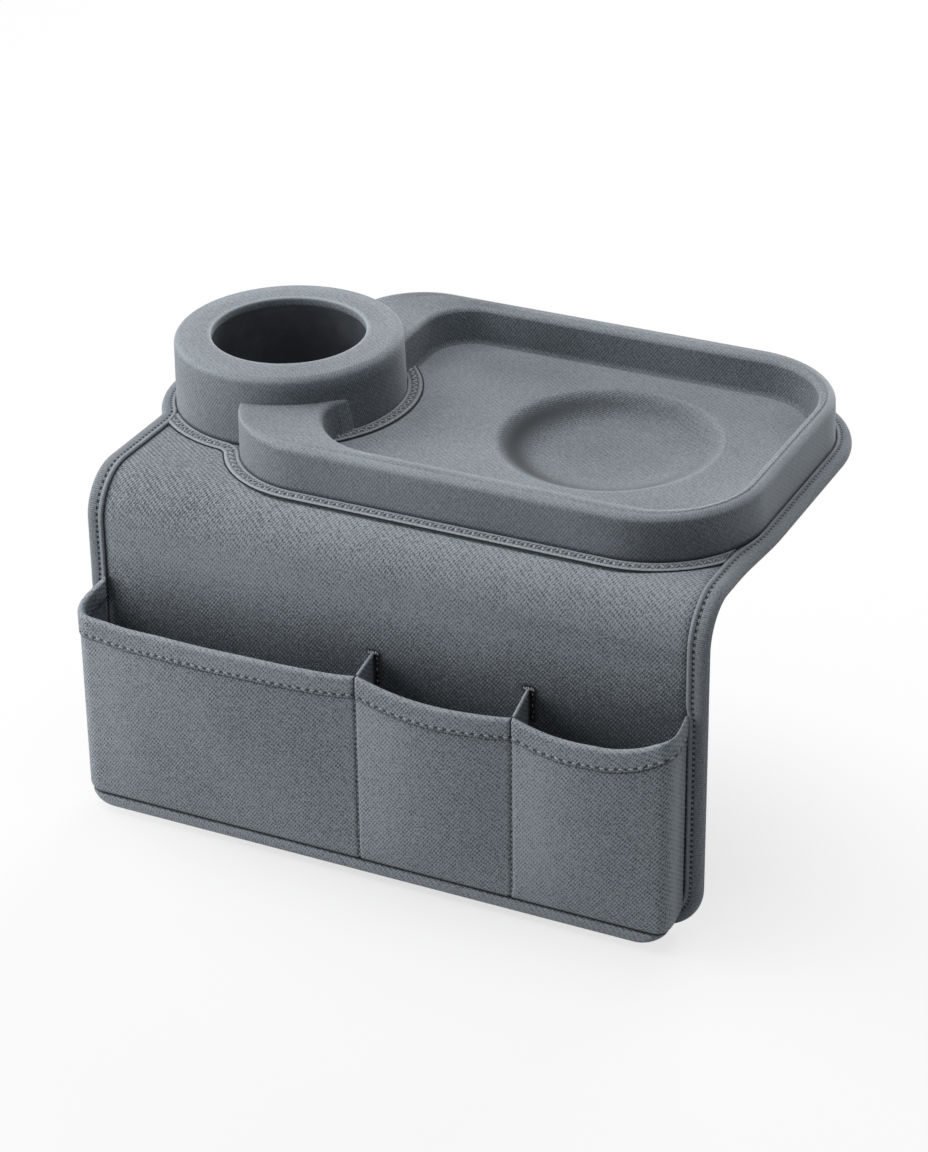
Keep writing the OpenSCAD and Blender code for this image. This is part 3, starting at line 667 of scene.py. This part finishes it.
def sides(inset, t):
    """x of the panel's left and right sides, drawn in by inset, at the distances t."""
    line = drawn_in(inset)
    top, low = np.argmax(line[:, 1]), np.argmin(line[:, 1])
    right, left = line[low:top + 1], np.concatenate([line[top:], line[:low + 1]])[::-1]
    return [np.interp(t, np.maximum.accumulate(part[:, 1]), part[:, 0]) for part in (left, right)]


def laid_out(inset, columns=150, count=330):
    """Grid of (x, t) over the panel inside an inset: rows are closer together towards both ends."""
    line = drawn_in(inset)
    high, low = line[:, 1].max() - 0.02, line[:, 1].min() + 0.02
    share = (1 - np.cos(np.pi * np.linspace(0, 1, count))) / 2
    t = high + (low - high) * (share * 0.35 + np.linspace(0, 1, count) * 0.65)
    x0, x1 = sides(inset, t)
    x = x0 + (x1 - x0) * np.linspace(0, 1, columns)[:, None]
    return x.T, np.broadcast_to(t[:, None], x.T.shape)


def side_gap(x, t):
    """Distance in x from the points of a laid-out grid to the binding's inner edge."""
    x0, x1 = sides(room, t[:, 0])
    return np.clip(np.minimum(x - x0[:, None], x1[:, None] - x), 0, None)


def rise(x, t):
    """Height of the panel's face: full between its edges, drawn down at the binding's seam and under
    the dish."""
    gap = side_gap(x, t)
    face = panel_t + 0.35 * (1 - np.exp(-gap / 9)) - 0.8 * np.exp(-gap / 1.1)
    reach = np.hypot(x - dish_at[0], t - dish_at[1])
    return np.where(t > bend_y, np.minimum(face, 1.45 + ramp(reach, 42, 64) * 4.6), face)


def slab(name, x, t, high, low, painted_light=0.0):
    """A closed sheet between two heights over a laid-out grid, wrapped over the bend."""
    faces = [wrapped(x, t, h) for h in (high, low)]
    rims = [(wrapped(x[cut], t[cut], high[cut]), wrapped(x[cut], t[cut], low[cut]))
            for cut in (np.s_[0], np.s_[-1], np.s_[:, 0], np.s_[:, -1])]
    weave = pair(x, t)
    # The sheet's rims get a little painted shade.
    return skin(name, [(f, weave, painted_light) for f in faces] + [plain(np.stack(r), -0.5) for r in rims])


def sewn(piece, surface, slot, *nodes):
    """Gives a piece of the panel its material, hides the model's parts that it stands for and bakes its
    place into its mesh.
    """
    piece.data.materials.append(surface)
    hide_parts(*nodes)
    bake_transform(piece)
    return piece


x, t = laid_out(room - 1.0)
face = rise(x, t)
below = flap_from - t
# Painted light on the panel's face: painted shade along the binding's seam; painted light over the bend,
# more towards the middle, and on the flap's top; painted shade lower down behind the pockets and towards
# the flap's right, with the flap's left a little lighter; and near-black painted shadow at the top of each
# divider and in a band just right of it.
panel_painted_light = -0.9 * np.exp(-side_gap(x, t))
panel_painted_light = panel_painted_light + 0.6 * ramp(x, -130, -50) * bell(below, -28, 20)
panel_painted_light = panel_painted_light + np.interp(below, [-15, 0, 12, 38, 60], [0, 0.45, 0.5, -0.7, -0.9])
panel_painted_light = panel_painted_light - np.interp(x, [-190, -90, 20, 100, 144], [-0.15, -0.1, 0.1, 0.4, 0.5]) * (below > 0)
for k in divider_x:
    panel_painted_light = panel_painted_light - 3.5 * bell(x - k, -0.6, 3.6) * bell(below, gusset_top, 1.8)
    panel_painted_light = panel_painted_light - 2.6 * bell(x - k, 1.2, 1.6) * (np.abs(below - 47) < 9)
piece = sewn(slab("panel_face", x, t, face, face - 0.3, panel_painted_light), twill, "twill",
             "top_face", "bend_face", "flap_face")

# Panel foam. A sheet of foam lies between the face and the lining, pressed thin under the dish.
x, t = laid_out(0.9, 90, 200)
made, start = material("panel_foam")
place = start.place()
cells = start.node("ShaderNodeTexVoronoi", (), {"Vector": place, "Scale": 900.0})
base = cells.mixed((0.045, 0.048, 0.052, 1), (0.10, 0.105, 0.112, 1))
foam = finished(made, start, base, cells * 0.1 + 0.85, cells.bump(0.5, 0.0003))
piece = sewn(slab("panel_foam", x, t, np.maximum(rise(x, t) - 0.4, 0.75), 0.62 + 0 * x), foam, "foam",
             "top_foam", "bend_foam", "flap_foam")

# Panel lining. A dark brushed cloth with rows of small grip dots lies against the sofa.
made, start = material("grip_lining")
cloth = start.cloth()
dots = start.node("ShaderNodeTexVoronoi", {"feature": "F1"},
                  {"Vector": cloth, "Scale": 0.33, "Randomness": 0.0})
dot = 1 - dots.between(0.18, 0.24)
fuzz = cloth.cloud(1.5, 3.0, 0.6)
shade = fuzz * 0.6 + dot * 0.4
base = shade.between(0.1, 0.9).mixed((0.016, 0.017, 0.019, 1), (0.05, 0.053, 0.058, 1))
lining = finished(made, start, base, 0.9 - dot * 0.35, (dot + fuzz * 0.3).bump(0.7, 0.0005))
x, t = laid_out(room - 0.3, 90, 200)
piece = sewn(slab("panel_lining", x, t, 0.6 + 0 * x, 0 * x), lining, "lining",
             "top_lining", "bend_lining", "flap_lining")

# Edge binding. Grey tape is folded round the panel's edge from the lining to the face, all the way
# round. Its inner edge is a raised cord-like lip, with one seam just outside it.
section = np.array([
    # share of the width from the edge, height
    (1.0, 0.0), (0.8, -0.02), (0.5, 0.0), (0.28, 0.1), (0.12, 0.55), (0.03, 1.5), (0.0, 2.9), (0.03, 4.2),
    (0.10, 5.3), (0.20, 5.95), (0.32, 6.25), (0.46, 6.3), (0.57, 6.15), (0.62, 5.95), (0.655, 5.75),
    (0.69, 5.8), (0.73, 6.2), (0.79, 6.65), (0.86, 6.85), (0.93, 6.65), (0.985, 6.1), (1.01, 5.3),
    (1.0, 4.6), (0.9, 4.3), (0.5, 4.2), (0.2, 3.9), (0.12, 3.0), (0.2, 1.6), (0.5, 1.0), (0.9, 0.62),
    (1.0, 0.6)])
fine = np.pad(points_at(np.linspace(0, 30, 91), np.arange(31), section), ((2, 2), (0, 0)), "wrap")
for _ in range(2):
    fine = fine[:-2] * 0.25 + fine[1:-1] * 0.5 + fine[2:] * 0.25
share, level = closed(fine).T
spot = outline + inward * (share[:, None] * room)[..., None]
grid = wrapped(spot[..., 0], spot[..., 1], level[:, None])
across = walked(pair(share * binding_w, level))
weave = pair(girth, across[:, None])
# Painted light on the binding: a painted highlight along the lip's crest and a slight one on the outer
# fold, painted shade in the groove outside the lip, and a dark painted shadow line along its inner edge.
painted_light = 0.8 * bell(share, 0.86, 0.06) * (level > 6) + 0.15 * (share < 0.1)
painted_light = painted_light - 1.8 * bell(share, 0.66, 0.04) * (level > 4) - 2.5 * bell(share, 1.01, 0.03)
stitch_pitch, stitch, groove_share = 3.0, 2.0, 0.655
groove = across[np.argmin(np.abs(share - groove_share) + (level < 4))]
edge_tape = woven_tape("edge_tape", (0.26, 0.287, 0.318), float(groove), 1.0, stitch_pitch, 0.5)
piece = sewn(skin("edge_binding", [(grid, weave, painted_light[:, None])]), edge_tape, "tape",
             "top_binding", "bend_binding", "flap_binding")

# Seam of the binding. A lock stitch runs along the groove outside the lip, all the way round.
line = drawn_in(groove_share * room)
at = np.arange(1.0, girth[-1] - stitch_pitch, stitch_pitch)
first, last = points_at(at, girth, line), points_at(at + stitch, girth, line)
piece = sewn(threads("binding_seam", wrapped, first, last, 5.7, 0.3, 0.2), thread, "thread",
             "top_binding_thread", "bend_binding_thread", "flap_binding_thread")

# Pocket front. One padded piece of twill makes the front and both ends of the pockets. It is sewn to
# the flap at its ends, to the dividers along two upright seams, and to the pocket floor along its foot.
# Places on it are given by the distance a round it from its left end, the drop s below the bend's
# centre and the distance o outwards.
pocket_x0, pocket_x1, pocket_back_x0, pocket_back_x1 = -191.0, 136.5, -183, 134.8
pocket_back, pocket_at, left_r, right_r = 26.7, 48, 11, 6.5
pocket_foot, pocket_sole, wall_t = 151.6, 144, 2.5
left_foot_r, right_foot_r = 10.5, 16
quarter = np.linspace(0, np.pi / 2, 24)
flare = quarter / (np.pi / 2)
left_wall = pair(pocket_back_x0 + (pocket_x0 - pocket_back_x0) * np.sin(quarter),
                 pocket_back + (pocket_at - left_r - pocket_back) * flare)
right_wall = pair(pocket_x1 + (pocket_back_x1 - pocket_x1) * (1 - np.cos(quarter)),
                  pocket_at - right_r + (pocket_back - pocket_at + right_r) * flare)
left_bend = arc([pocket_x0 + left_r, pocket_at - left_r], left_r, np.pi, np.pi / 2, 24)
right_bend = arc([pocket_x1 - right_r, pocket_at - right_r], right_r, np.pi / 2, 0, 24)
straight = np.linspace(left_bend[-1], right_bend[0], 200)
plan = np.concatenate([left_wall[:-1], left_bend[:-1], straight[:-1], right_bend[:-1], right_wall])
plan_a = walked(plan)
plan_turn = np.unwrap(np.arctan2(*np.gradient(plan, plan_a, axis=0).T[::-1])) + np.pi / 2
left_end = len(left_wall) + len(left_bend) - 2
corner_a = plan_a[left_end], plan_a[left_end + len(straight) - 1]
seam_a = corner_a[0] + divider_x - straight[0, 0]
mouth_front = np.array([
    # x, drop
    (-157.7, 42.9), (-138, 42.3), (-115.7, 42.4), (-90, 42.1), (-70.7, 42.2), (-50, 42.1), (-37.7, 41.7),
    (-30.2, 40.5), (-23.8, 41.6), (-17.3, 42.8), (-10.8, 43.6), (-4.4, 44.3), (2.1, 44.7), (8.5, 45.0),
    (21.3, 45.1), (34, 44.7), (40.4, 44.4), (53, 43.6), (53.6, 42.8), (59.3, 44.3), (65.5, 45.3),
    (71.8, 46.2), (78, 46.5), (84.2, 46.6), (90.4, 46.5), (96.5, 46.0), (102.7, 46.0), (108.8, 45.2),
    (114.9, 43.8), (120, 42.4), (125, 40.3)])
left_mouth = np.array([(0, 28.9), (0.26, 35.6), (0.4, 38.9), (0.6, 41.4), (0.8, 42.2), (1, 41.9)])
right_mouth = np.array([(0, 37.6), (5, 35.2), (10, 34.0), (15, 33.4)])
mouth = np.concatenate([left_mouth * [corner_a[0], 1], mouth_front + [corner_a[0] - straight[0, 0], 0],
                        right_mouth + [corner_a[1], 0], [(plan_a[-1], 32.6)]])
even_a = np.linspace(0, plan_a[-1], 720)
even_mouth = np.interp(even_a, mouth[:, 0], mouth[:, 1])
for _ in range(40):
    even_mouth[1:-1] = (even_mouth[:-2] + even_mouth[1:-1] * 2 + even_mouth[2:]) / 4


def mouth_at(a):
    """The drop of the pockets' mouth at the distances a."""
    return np.interp(a, even_a, even_mouth)


def blown(spot, held, pressure=30.0, stretch=5.0, frames=20):
    """Rise of a flat sheet in mm. spot is its grid of (x, y) in mm, held says which points its seams
    hold, and a soft pressure from below blows the rest up for some frames, as cloth."""
    mesh = bpy.data.meshes.new("sheet")
    mesh.from_pydata(np.insert(spot.reshape(-1, 2) * mm, 2, 0, 1), [], cells_of(*held.shape))
    sheet = placed("sheet", mesh)
    sheet.vertex_groups.new(name="held").add(np.flatnonzero(held).tolist(), 1.0, "REPLACE")
    cloth = sheet.modifiers.new("cloth", "CLOTH")
    cloth.point_cache.frame_end = frames
    settings = cloth.settings
    settings.vertex_group_mass = "held"
    settings.use_pressure, settings.uniform_pressure_force = True, pressure
    settings.tension_stiffness = settings.compression_stiffness = stretch
    settings.effector_weights.gravity = 0
    for step in range(1, frames + 1):
        bpy.context.scene.frame_set(step)
    solved = sheet.evaluated_get(bpy.context.evaluated_depsgraph_get()).to_mesh()
    place = np.zeros(held.size * 3)
    solved.vertices.foreach_get("co", place)
    bpy.context.scene.frame_set(1)
    bpy.data.objects.remove(sheet)
    return place.reshape(*held.shape, 3)[..., 2] / mm


# The padded front is blown out between its seams.
ends = np.array([corner_a[0] - 10, *seam_a, corner_a[1] + 8])
stops = [0, *ends, plan_a[-1]]
sheet_a = [np.linspace(stops[k], stops[k + 1], n + 1)[:-1] for k, n in enumerate((6, 42, 22, 22, 6))]
sheet_a = np.concatenate(sheet_a + [plan_a[-1:]])
sheet_s = np.linspace(40, pocket_sole, 27)
wide, low = np.meshgrid(sheet_a, sheet_s)
clear = np.min(np.abs(wide[..., None] - ends), -1)
held = (clear < 0.01) | (wide < ends[0]) | (wide > ends[-1]) | (low > pocket_sole - 0.1)
bulge = blown(pair(wide, low), held)
bulge *= 1 - 0.45 * bell(low, 40, 18)
for k, tall in enumerate((6.0, 5.0, 4.8)):
    part = (sheet_a > ends[k]) & (sheet_a < ends[k + 1])
    bulge[:, part] *= tall / bulge[:, part].max()


def swell(a, s):
    """How far the front stands out: the bulge between its seams, which the needle draws in along the
    upright seams and the foot."""
    across = np.clip(np.interp(a, sheet_a, np.arange(len(sheet_a))), 0, len(sheet_a) - 1.001)
    down = np.clip((s - sheet_s[0]) / (sheet_s[1] - sheet_s[0]), 0, len(sheet_s) - 1.001)
    across, down = np.broadcast_arrays(across, down)
    i, j = down.astype(int), across.astype(int)
    down, across = down - i, across - j
    out = ((bulge[i, j] * (1 - across) + bulge[i, j + 1] * across) * (1 - down)
           + (bulge[i + 1, j] * (1 - across) + bulge[i + 1, j + 1] * across) * down)
    for k in seam_a:
        out = out - 0.8 * bell(a, k, 0.9)
    return out - 0.9 * bell(s, pocket_sole, 1.2)


def foot_narrowing(x, s):
    """Draws x in towards the middle below the round lower corners of the pockets."""
    middle, half = (pocket_x0 + pocket_x1) / 2, (pocket_x1 - pocket_x0) / 2
    corner = np.where(x < middle, left_foot_r, right_foot_r)
    low = np.clip(s - (pocket_foot - corner), 0, corner - 0.05)
    return middle + (x - middle) * (1 - (corner - np.sqrt(corner ** 2 - low ** 2)) / half)


def pocket_place(a, s, o):
    """Point of the pocket front: out along the plan's normal by o and the swell, then wrapped."""
    turn = np.interp(a, plan_a, plan_turn)
    out = o + swell(a, s)
    x = np.interp(a, plan_a, plan[:, 0]) + out * np.cos(turn)
    d = np.interp(a, plan_a, plan[:, 1]) + out * np.sin(turn)
    return wrapped(foot_narrowing(x, s), flap_from - s, d - bend_r)


def thinned(a, thin):
    """The wall's thickness as a share: the cloth is pulled thin where it ends at the right."""
    return 1 - (1 - thin) * eased(ramp(a - corner_a[1], -4, 8))


def capped(grid, weave, painted_light, rows, cap_painted_light=0.0):
    """The patch of a closed loop of rows, and the two that close its ends, drawn from its first rows
    across to its last ones."""
    caps = [np.stack([grid[:rows, k], grid[::-1][:rows, k]]) for k in (0, -1)]
    return [(grid, weave, painted_light)] + [plain(cap, cap_painted_light) for cap in caps]


near_seams = [k + np.linspace(-2.2, 2.2, 17) for k in seam_a]
a = np.sort(np.concatenate([np.linspace(0, plan_a[-1], 480), *near_seams]))
top = mouth_at(a)
down = np.sort(np.concatenate([np.linspace(0, 1, 90), np.linspace(0.892, 0.916, 13)]))[:, None]
bend = np.linspace(0, np.pi, 11)[1:-1, None]
outer_s = pocket_sole - (pocket_sole - top - 2) * down
s = closed(np.concatenate([outer_s, top + 2 - wall_t / 2 * np.sin(bend), outer_s[::-1]]))
over_o = -wall_t / 2 + wall_t / 2 * np.cos(bend) + 0 * a
o = closed(np.concatenate([0 * outer_s, over_o, -wall_t + 0 * outer_s]))
# Painted light on the pocket front: lighter overall; near-black painted shadow lines at the foot seam and
# just under the hem's edge; painted shade in the divider seams with a painted highlight just right of each;
# a painted highlight round the right corner; and the left part of each pocket painted lighter.
painted_light = 0.25 - 3.0 * bell(s, pocket_sole, 0.7) - 2.0 * bell(s - top, 11.6, 0.4) * (o > -0.5)
for k in seam_a:
    painted_light = painted_light - 2.4 * bell(a, k, 0.5) + 0.4 * bell(a - k, 1.6, 0.8)
painted_light = painted_light + 0.9 * bell(a - corner_a[1], 10, 5)
for k in (corner_a[0] + 10, seam_a[0] + 14, seam_a[1] + 12):
    painted_light = painted_light + 0.4 * bell(a, k, 17)
grid = pocket_place(a, s, o * thinned(a, 0.4))
piece = skin("pocket_front_pad", capped(grid, pair(a, walked(grid)), painted_light, len(s) // 2 + 1))
dressed(piece, twill, "twill", "flap", "pocket_front")

# Hems. At each mouth the cloth is turned over the top edge and sewn down in one row of stitches, in
# three lengths between the dividers.
hem_w, hem_seam, hem_pitch, hem_stitch, hem_t, tuck = 11.2, 9.6, 4.7, 3.0, 0.5, 0.35
patches = []
ends = [0, *seam_a, plan_a[-1]]
for k in range(3):
    a = np.linspace(ends[k] + (tuck if k else 0), ends[k + 1] - (tuck if k < 2 else 0), (260, 130, 150)[k])
    top = mouth_at(a)
    fall = np.linspace(1, 0, 16)[:, None]
    bend = np.linspace(0, np.pi, 13)[1:-1, None]
    shells = []
    for off, cut in ((hem_t, 0), (-0.05, 0.4)):
        out_r = (wall_t + 2 * off) / 2 + 0.25
        s_out = top + out_r + (hem_w - out_r - cut) * fall
        s_over = top + out_r - (out_r - (hem_t - off)) * np.sin(bend)
        o_over = -wall_t / 2 + out_r * np.cos(bend) + 0 * a
        o_out = 0 * s_out - wall_t / 2
        shell = pair(np.concatenate([s_out, s_over, s_out[::-1]]),
                     np.concatenate([o_out + out_r, o_over, o_out - out_r]))
        shells.append(shell if off > 0 else shell[::-1])
    s, o = np.moveaxis(closed(np.concatenate(shells)), -1, 0)
    o = o - 0.28 * bell(s - top, hem_seam, 0.8) * (o > 0)
    o = 0.75 - (0.75 - o) * thinned(a, 0.45)
    grid = pocket_place(a, s, o)
    # Painted light on the hems: lighter overall, with a painted highlight along the top fold, a near-black
    # painted shadow line at the hem's lower edge, painted shade along the seam, and a little painted shade
    # on the closing ends.
    painted_light = 0.4 + 0.35 * bell(s, top, 1.6)
    painted_light = painted_light - 2.0 * bell(s - top, hem_w, 0.45) - 0.5 * bell(s - top, hem_seam, 0.5)
    patches += capped(grid, pair(a, walked(grid)), painted_light, len(s) // 2, -0.5)
# Needle holes of the hem's seam, darkened as painted shade.
holes = hem_w - hem_seam, 0.8, hem_pitch, 2.0 - (hem_pitch - hem_stitch) / 2
sewn_twill = twill_cloth("sewn_twill", seam=holes)
dressed(skin("pocket_hems", patches), sewn_twill, "twill", "flap", "pocket_hem")

# Seams of the pocket front. One row runs along the hems, and an upright row holds each divider.
spot = np.arange(2.0, plan_a[-1] - 4.5, hem_pitch)
spot = spot[np.min(np.abs(spot[:, None] + hem_stitch / 2 - seam_a), -1) > 2.2]
first = pair(spot, mouth_at(spot) + hem_seam - 0.25)
last = pair(spot + hem_stitch, mouth_at(spot + hem_stitch) + hem_seam + 0.25)
piece = threads("hem_seam", pocket_place, first, last, 0.42, 0.38, 0.2)
dressed(piece, thread, "thread", "flap", "hem_thread")
drop = np.arange(mouth_at(seam_a[0]) + 13, pocket_sole - 3, 3.1)
first = np.concatenate([pair(k, drop) for k in seam_a])
piece = threads("divider_seams", pocket_place, first, first + [0.0, 2.2], 0.05, 0.27, 0.12)
dressed(piece, thread, "thread", "flap", "divider_thread")

# Dividers. Two thin gussets of the twill stand between the flap and the pocket front. The cloth is
# folded over at the top, and they bow a little to one side.
for k, name in enumerate(("pocket_divider_left", "pocket_divider_right")):
    d = np.linspace(bend_r + panel_t + 0.2, pocket_at - wall_t - 0.6, 30)
    deep = (d - d[0]) / (d[-1] - d[0])
    top = gusset_top + (mouth_at(seam_a[k]) - 0.3 - gusset_top) * deep
    drop = np.linspace(0, 1, 40)[:, None] ** 1.7
    s_side = top + 0.8 + (pocket_sole - 1.3 - top) * drop
    half = 0.5 + 0.3 * bell(s_side, top, 4.0)
    bow = -1.3 * (1 - deep) * bell(s_side, top, 40)
    bend = np.linspace(0, np.pi, 9)[1:-1, None]
    s = np.concatenate([s_side[::-1], top + 0.8 - 0.75 * np.sin(bend), s_side])
    off = np.concatenate([half[::-1], half[0] * np.cos(bend) + 0 * top, -half])
    lean = np.concatenate([bow[::-1], bow[0] + 0 * bend, bow])
    s, off, lean = closed(s), closed(off), closed(lean)
    grid = wrapped(divider_x[k] + off + lean, flap_from - s, d - bend_r)
    # Painted light on the gussets: a painted highlight along the fold at the top, a little painted shade
    # elsewhere, and dark painted shadow where they meet the flap.
    painted_light = 1.8 * bell(s, top, 1.3) - 0.1 - 3.0 * bell(deep, 0, 0.08) * (s > top + 2)
    piece = skin(name + "_gusset", capped(grid, pair(d, s), painted_light, len(s) // 2))
    dressed(piece, twill, "twill", "flap", name)

# Pocket floor. A padded strip closes the pockets below. Its rounded edge shows as a band under the
# pocket front, sewn to it in a seam that pulls both in.
spine = np.linspace(0, 1, 420)
edge = points_at(spine * plan_a[-1], plan_a, plan)
back = pair(pocket_back_x0 + (pocket_back_x1 - pocket_back_x0) * spine, pocket_back)
turn = np.linspace(0, 2 * np.pi, 61)[:, None]
reach, thick = (np.sign(f(turn)) * np.abs(f(turn)) ** p for f, p in ((np.cos, 0.22), (np.sin, 0.5)))
middle, span = (edge + back) / 2, (edge - back) / 2
spot = middle + span * reach[..., None]
head = pocket_sole + 0.3
s = (head + pocket_foot) / 2 - (pocket_foot - head) / 2 * thick + 0 * spine
grid = wrapped(foot_narrowing(spot[..., 0], s), flap_from - s, spot[..., 1] - bend_r)
# Painted light on the floor strip: lighter overall, with a near-black painted shadow line along its seam
# under the pocket front.
painted_light = 0.8 - 3.8 * bell(s, head, 0.6)
piece = skin("pocket_floor_pad", [(grid, pair(spine * plan_a[-1], walked(grid)), painted_light)])
dressed(piece, twill, "twill", "flap", "pocket_floor")

# Bar tacks. A close row of thread holds the top of each divider to the flap, and loose stitches run on
# down beside it.
tacks = np.array([
    # across, drop at the start, run across, run down, radius
    (-3.0, 37.4, 1.0, 1.6, 0.40), (-1.9, 39.1, 0.9, -2.0, 0.45), (-0.4, 37.1, 0.8, 2.1, 0.50),
    (1.0, 39.0, 0.4, -2.1, 0.42), (1.9, 37.3, 0.9, 1.8, 0.38), (1.8, 40.0, 0.5, 1.8, 0.24),
    (2.4, 42.6, -0.6, 1.6, 0.22), (1.7, 45.8, 0.5, 2.2, 0.26), (2.5, 49.6, -0.3, 1.4, 0.20),
    (1.9, 52.4, 0.3, 1.7, 0.22)])
first = np.concatenate([tacks[:, :2] * [1, -1] + [k - 0.6, flap_from] for k in divider_x])
last = first + np.tile(tacks[:, 2:4] * [1, -1], (2, 1))
piece = threads("bar_tacks_sewn", wrapped, first, last, panel_t + 0.4, np.tile(tacks[:, 4], 2), 0.4)
dressed(piece, thread, "thread", "flap", "bar_tacks")

# Studio: a plain pale floor that looks almost white to the camera and keeps the object's shadow, soft
# light from the left and from behind, and the camera of the photograph.
made, start = material("studio_floor")
place = start.place()
speck = place.cloud(3.0, 2.0, 0.5)
rays = start.node("ShaderNodeLightPath")
base = rays.mixed(speck.mixed((0.60, 0.60, 0.60, 1), (0.64, 0.64, 0.64, 1)),
                  speck.mixed((0.93, 0.935, 0.945, 1), (0.97, 0.975, 0.985, 1)))
paper = start.node("ShaderNodeBsdfDiffuse", (), {"Color": base})
glow = start.node("ShaderNodeEmission", (), {"Color": (1, 1, 1, 1), "Strength": 1.0})
away = place.node("ShaderNodeVectorMath", {"operation": "LENGTH"}, {0: place}, out=1)
behind = place.parts()[1].between(-0.12, 0.12)
near = away.between(0.14, 0.33) * 0.26 + away.between(0.36, 0.8) * 0.16
# Painted light: to the camera the floor glows white, more so behind the object and further from it, which
# hides the object's shadow there and leaves it mainly near the object's front.
shown = rays * (behind * 0.4 + (1 - behind) * near + 0.56)
both = start.node("ShaderNodeMixShader", (), {0: shown, 1: paper, 2: glow})
start.node("ShaderNodeOutputMaterial", (), {"Surface": both})
floor_x, floor_y = np.meshgrid(*[np.linspace(-3.0, 3.0, 9)] * 2)
floor_z = 0 * floor_x - 0.1738
mesh = bpy.data.meshes.new("studio_floor")
mesh.from_pydata(np.stack([floor_x, floor_y, floor_z], -1).reshape(-1, 3), [], cells_of(9, 9))
mesh.materials.append(made)
floor = placed("studio_floor", mesh)

scene = bpy.context.scene
world = scene.world = bpy.data.worlds.new("studio")
world.use_nodes = True
world.node_tree.nodes.clear()
start = Fibre(world.node_tree)
rays = start.node("ShaderNodeLightPath")
seen = [Fibre(world.node_tree, rays.socket.node.outputs[k])
        for k in ("Is Camera Ray", "Is Glossy Ray", "Is Transmission Ray")]
shown = seen[0].math("MAXIMUM", seen[0], seen[1].math("MAXIMUM", seen[1], seen[2]))
soft = start.node("ShaderNodeBackground", (), {"Color": (0.97, 0.985, 1.0, 1), "Strength": 0.02})
white = start.node("ShaderNodeBackground", (), {"Color": (1, 1, 1, 1), "Strength": 1.0})
both = start.node("ShaderNodeMixShader", (), {0: shown, 1: soft, 2: white})
start.node("ShaderNodeOutputWorld", (), {"Surface": both})


def soft_lamp(name, at, power, size=1.1):
    """A square lamp at a place, turned towards the origin."""
    lamp = bpy.data.lights.new(name, "AREA")
    lamp.size, lamp.energy = size, power
    made = placed(name, lamp)
    made.location = at
    x, y, z = at
    made.rotation_euler = np.arctan2(np.hypot(x, y), z), 0, np.arctan2(y, x) + np.pi / 2


soft_lamp("low_left_lamp", (-1.30, -0.78, 0.27), 12.4)
soft_lamp("high_left_lamp", (-1.18, -0.05, 0.92), 10)
soft_lamp("back_lamp", (-0.03, 1.42, 0.27), 20.5)
soft_lamp("top_lamp", (-0.03, -0.05, 1.46), 9.5)
soft_lamp("right_lamp", (1.44, -0.05, 0.27), 2.0)

azimuth, elevation, roll = np.radians([26.89, 28.95, -1.46])
focal_px, frame_px, sensor_w = 3329.1, 1152, 36
right = np.array([np.cos(azimuth), np.sin(azimuth), 0])
level = np.array([-np.sin(azimuth), np.cos(azimuth), 0])
ahead = level * np.cos(elevation) - [0, 0, np.sin(elevation)]
up = np.cross(right, ahead)
right, up = right * np.cos(roll) + up * np.sin(roll), up * np.cos(roll) - right * np.sin(roll)
camera = bpy.data.cameras.new("photo_camera")
camera.lens, camera.sensor_width, camera.sensor_fit = sensor_w * focal_px / frame_px, sensor_w, "AUTO"
view = placed("photo_camera", camera)
place = np.eye(4)
place[:3, 0], place[:3, 1], place[:3, 2] = right, up, -ahead
place[:3, 3] = 0.643571, -1.357320, 0.759738
view.matrix_world = place.T.tolist()
scene.camera = view
scene.view_settings.view_transform = "Standard"
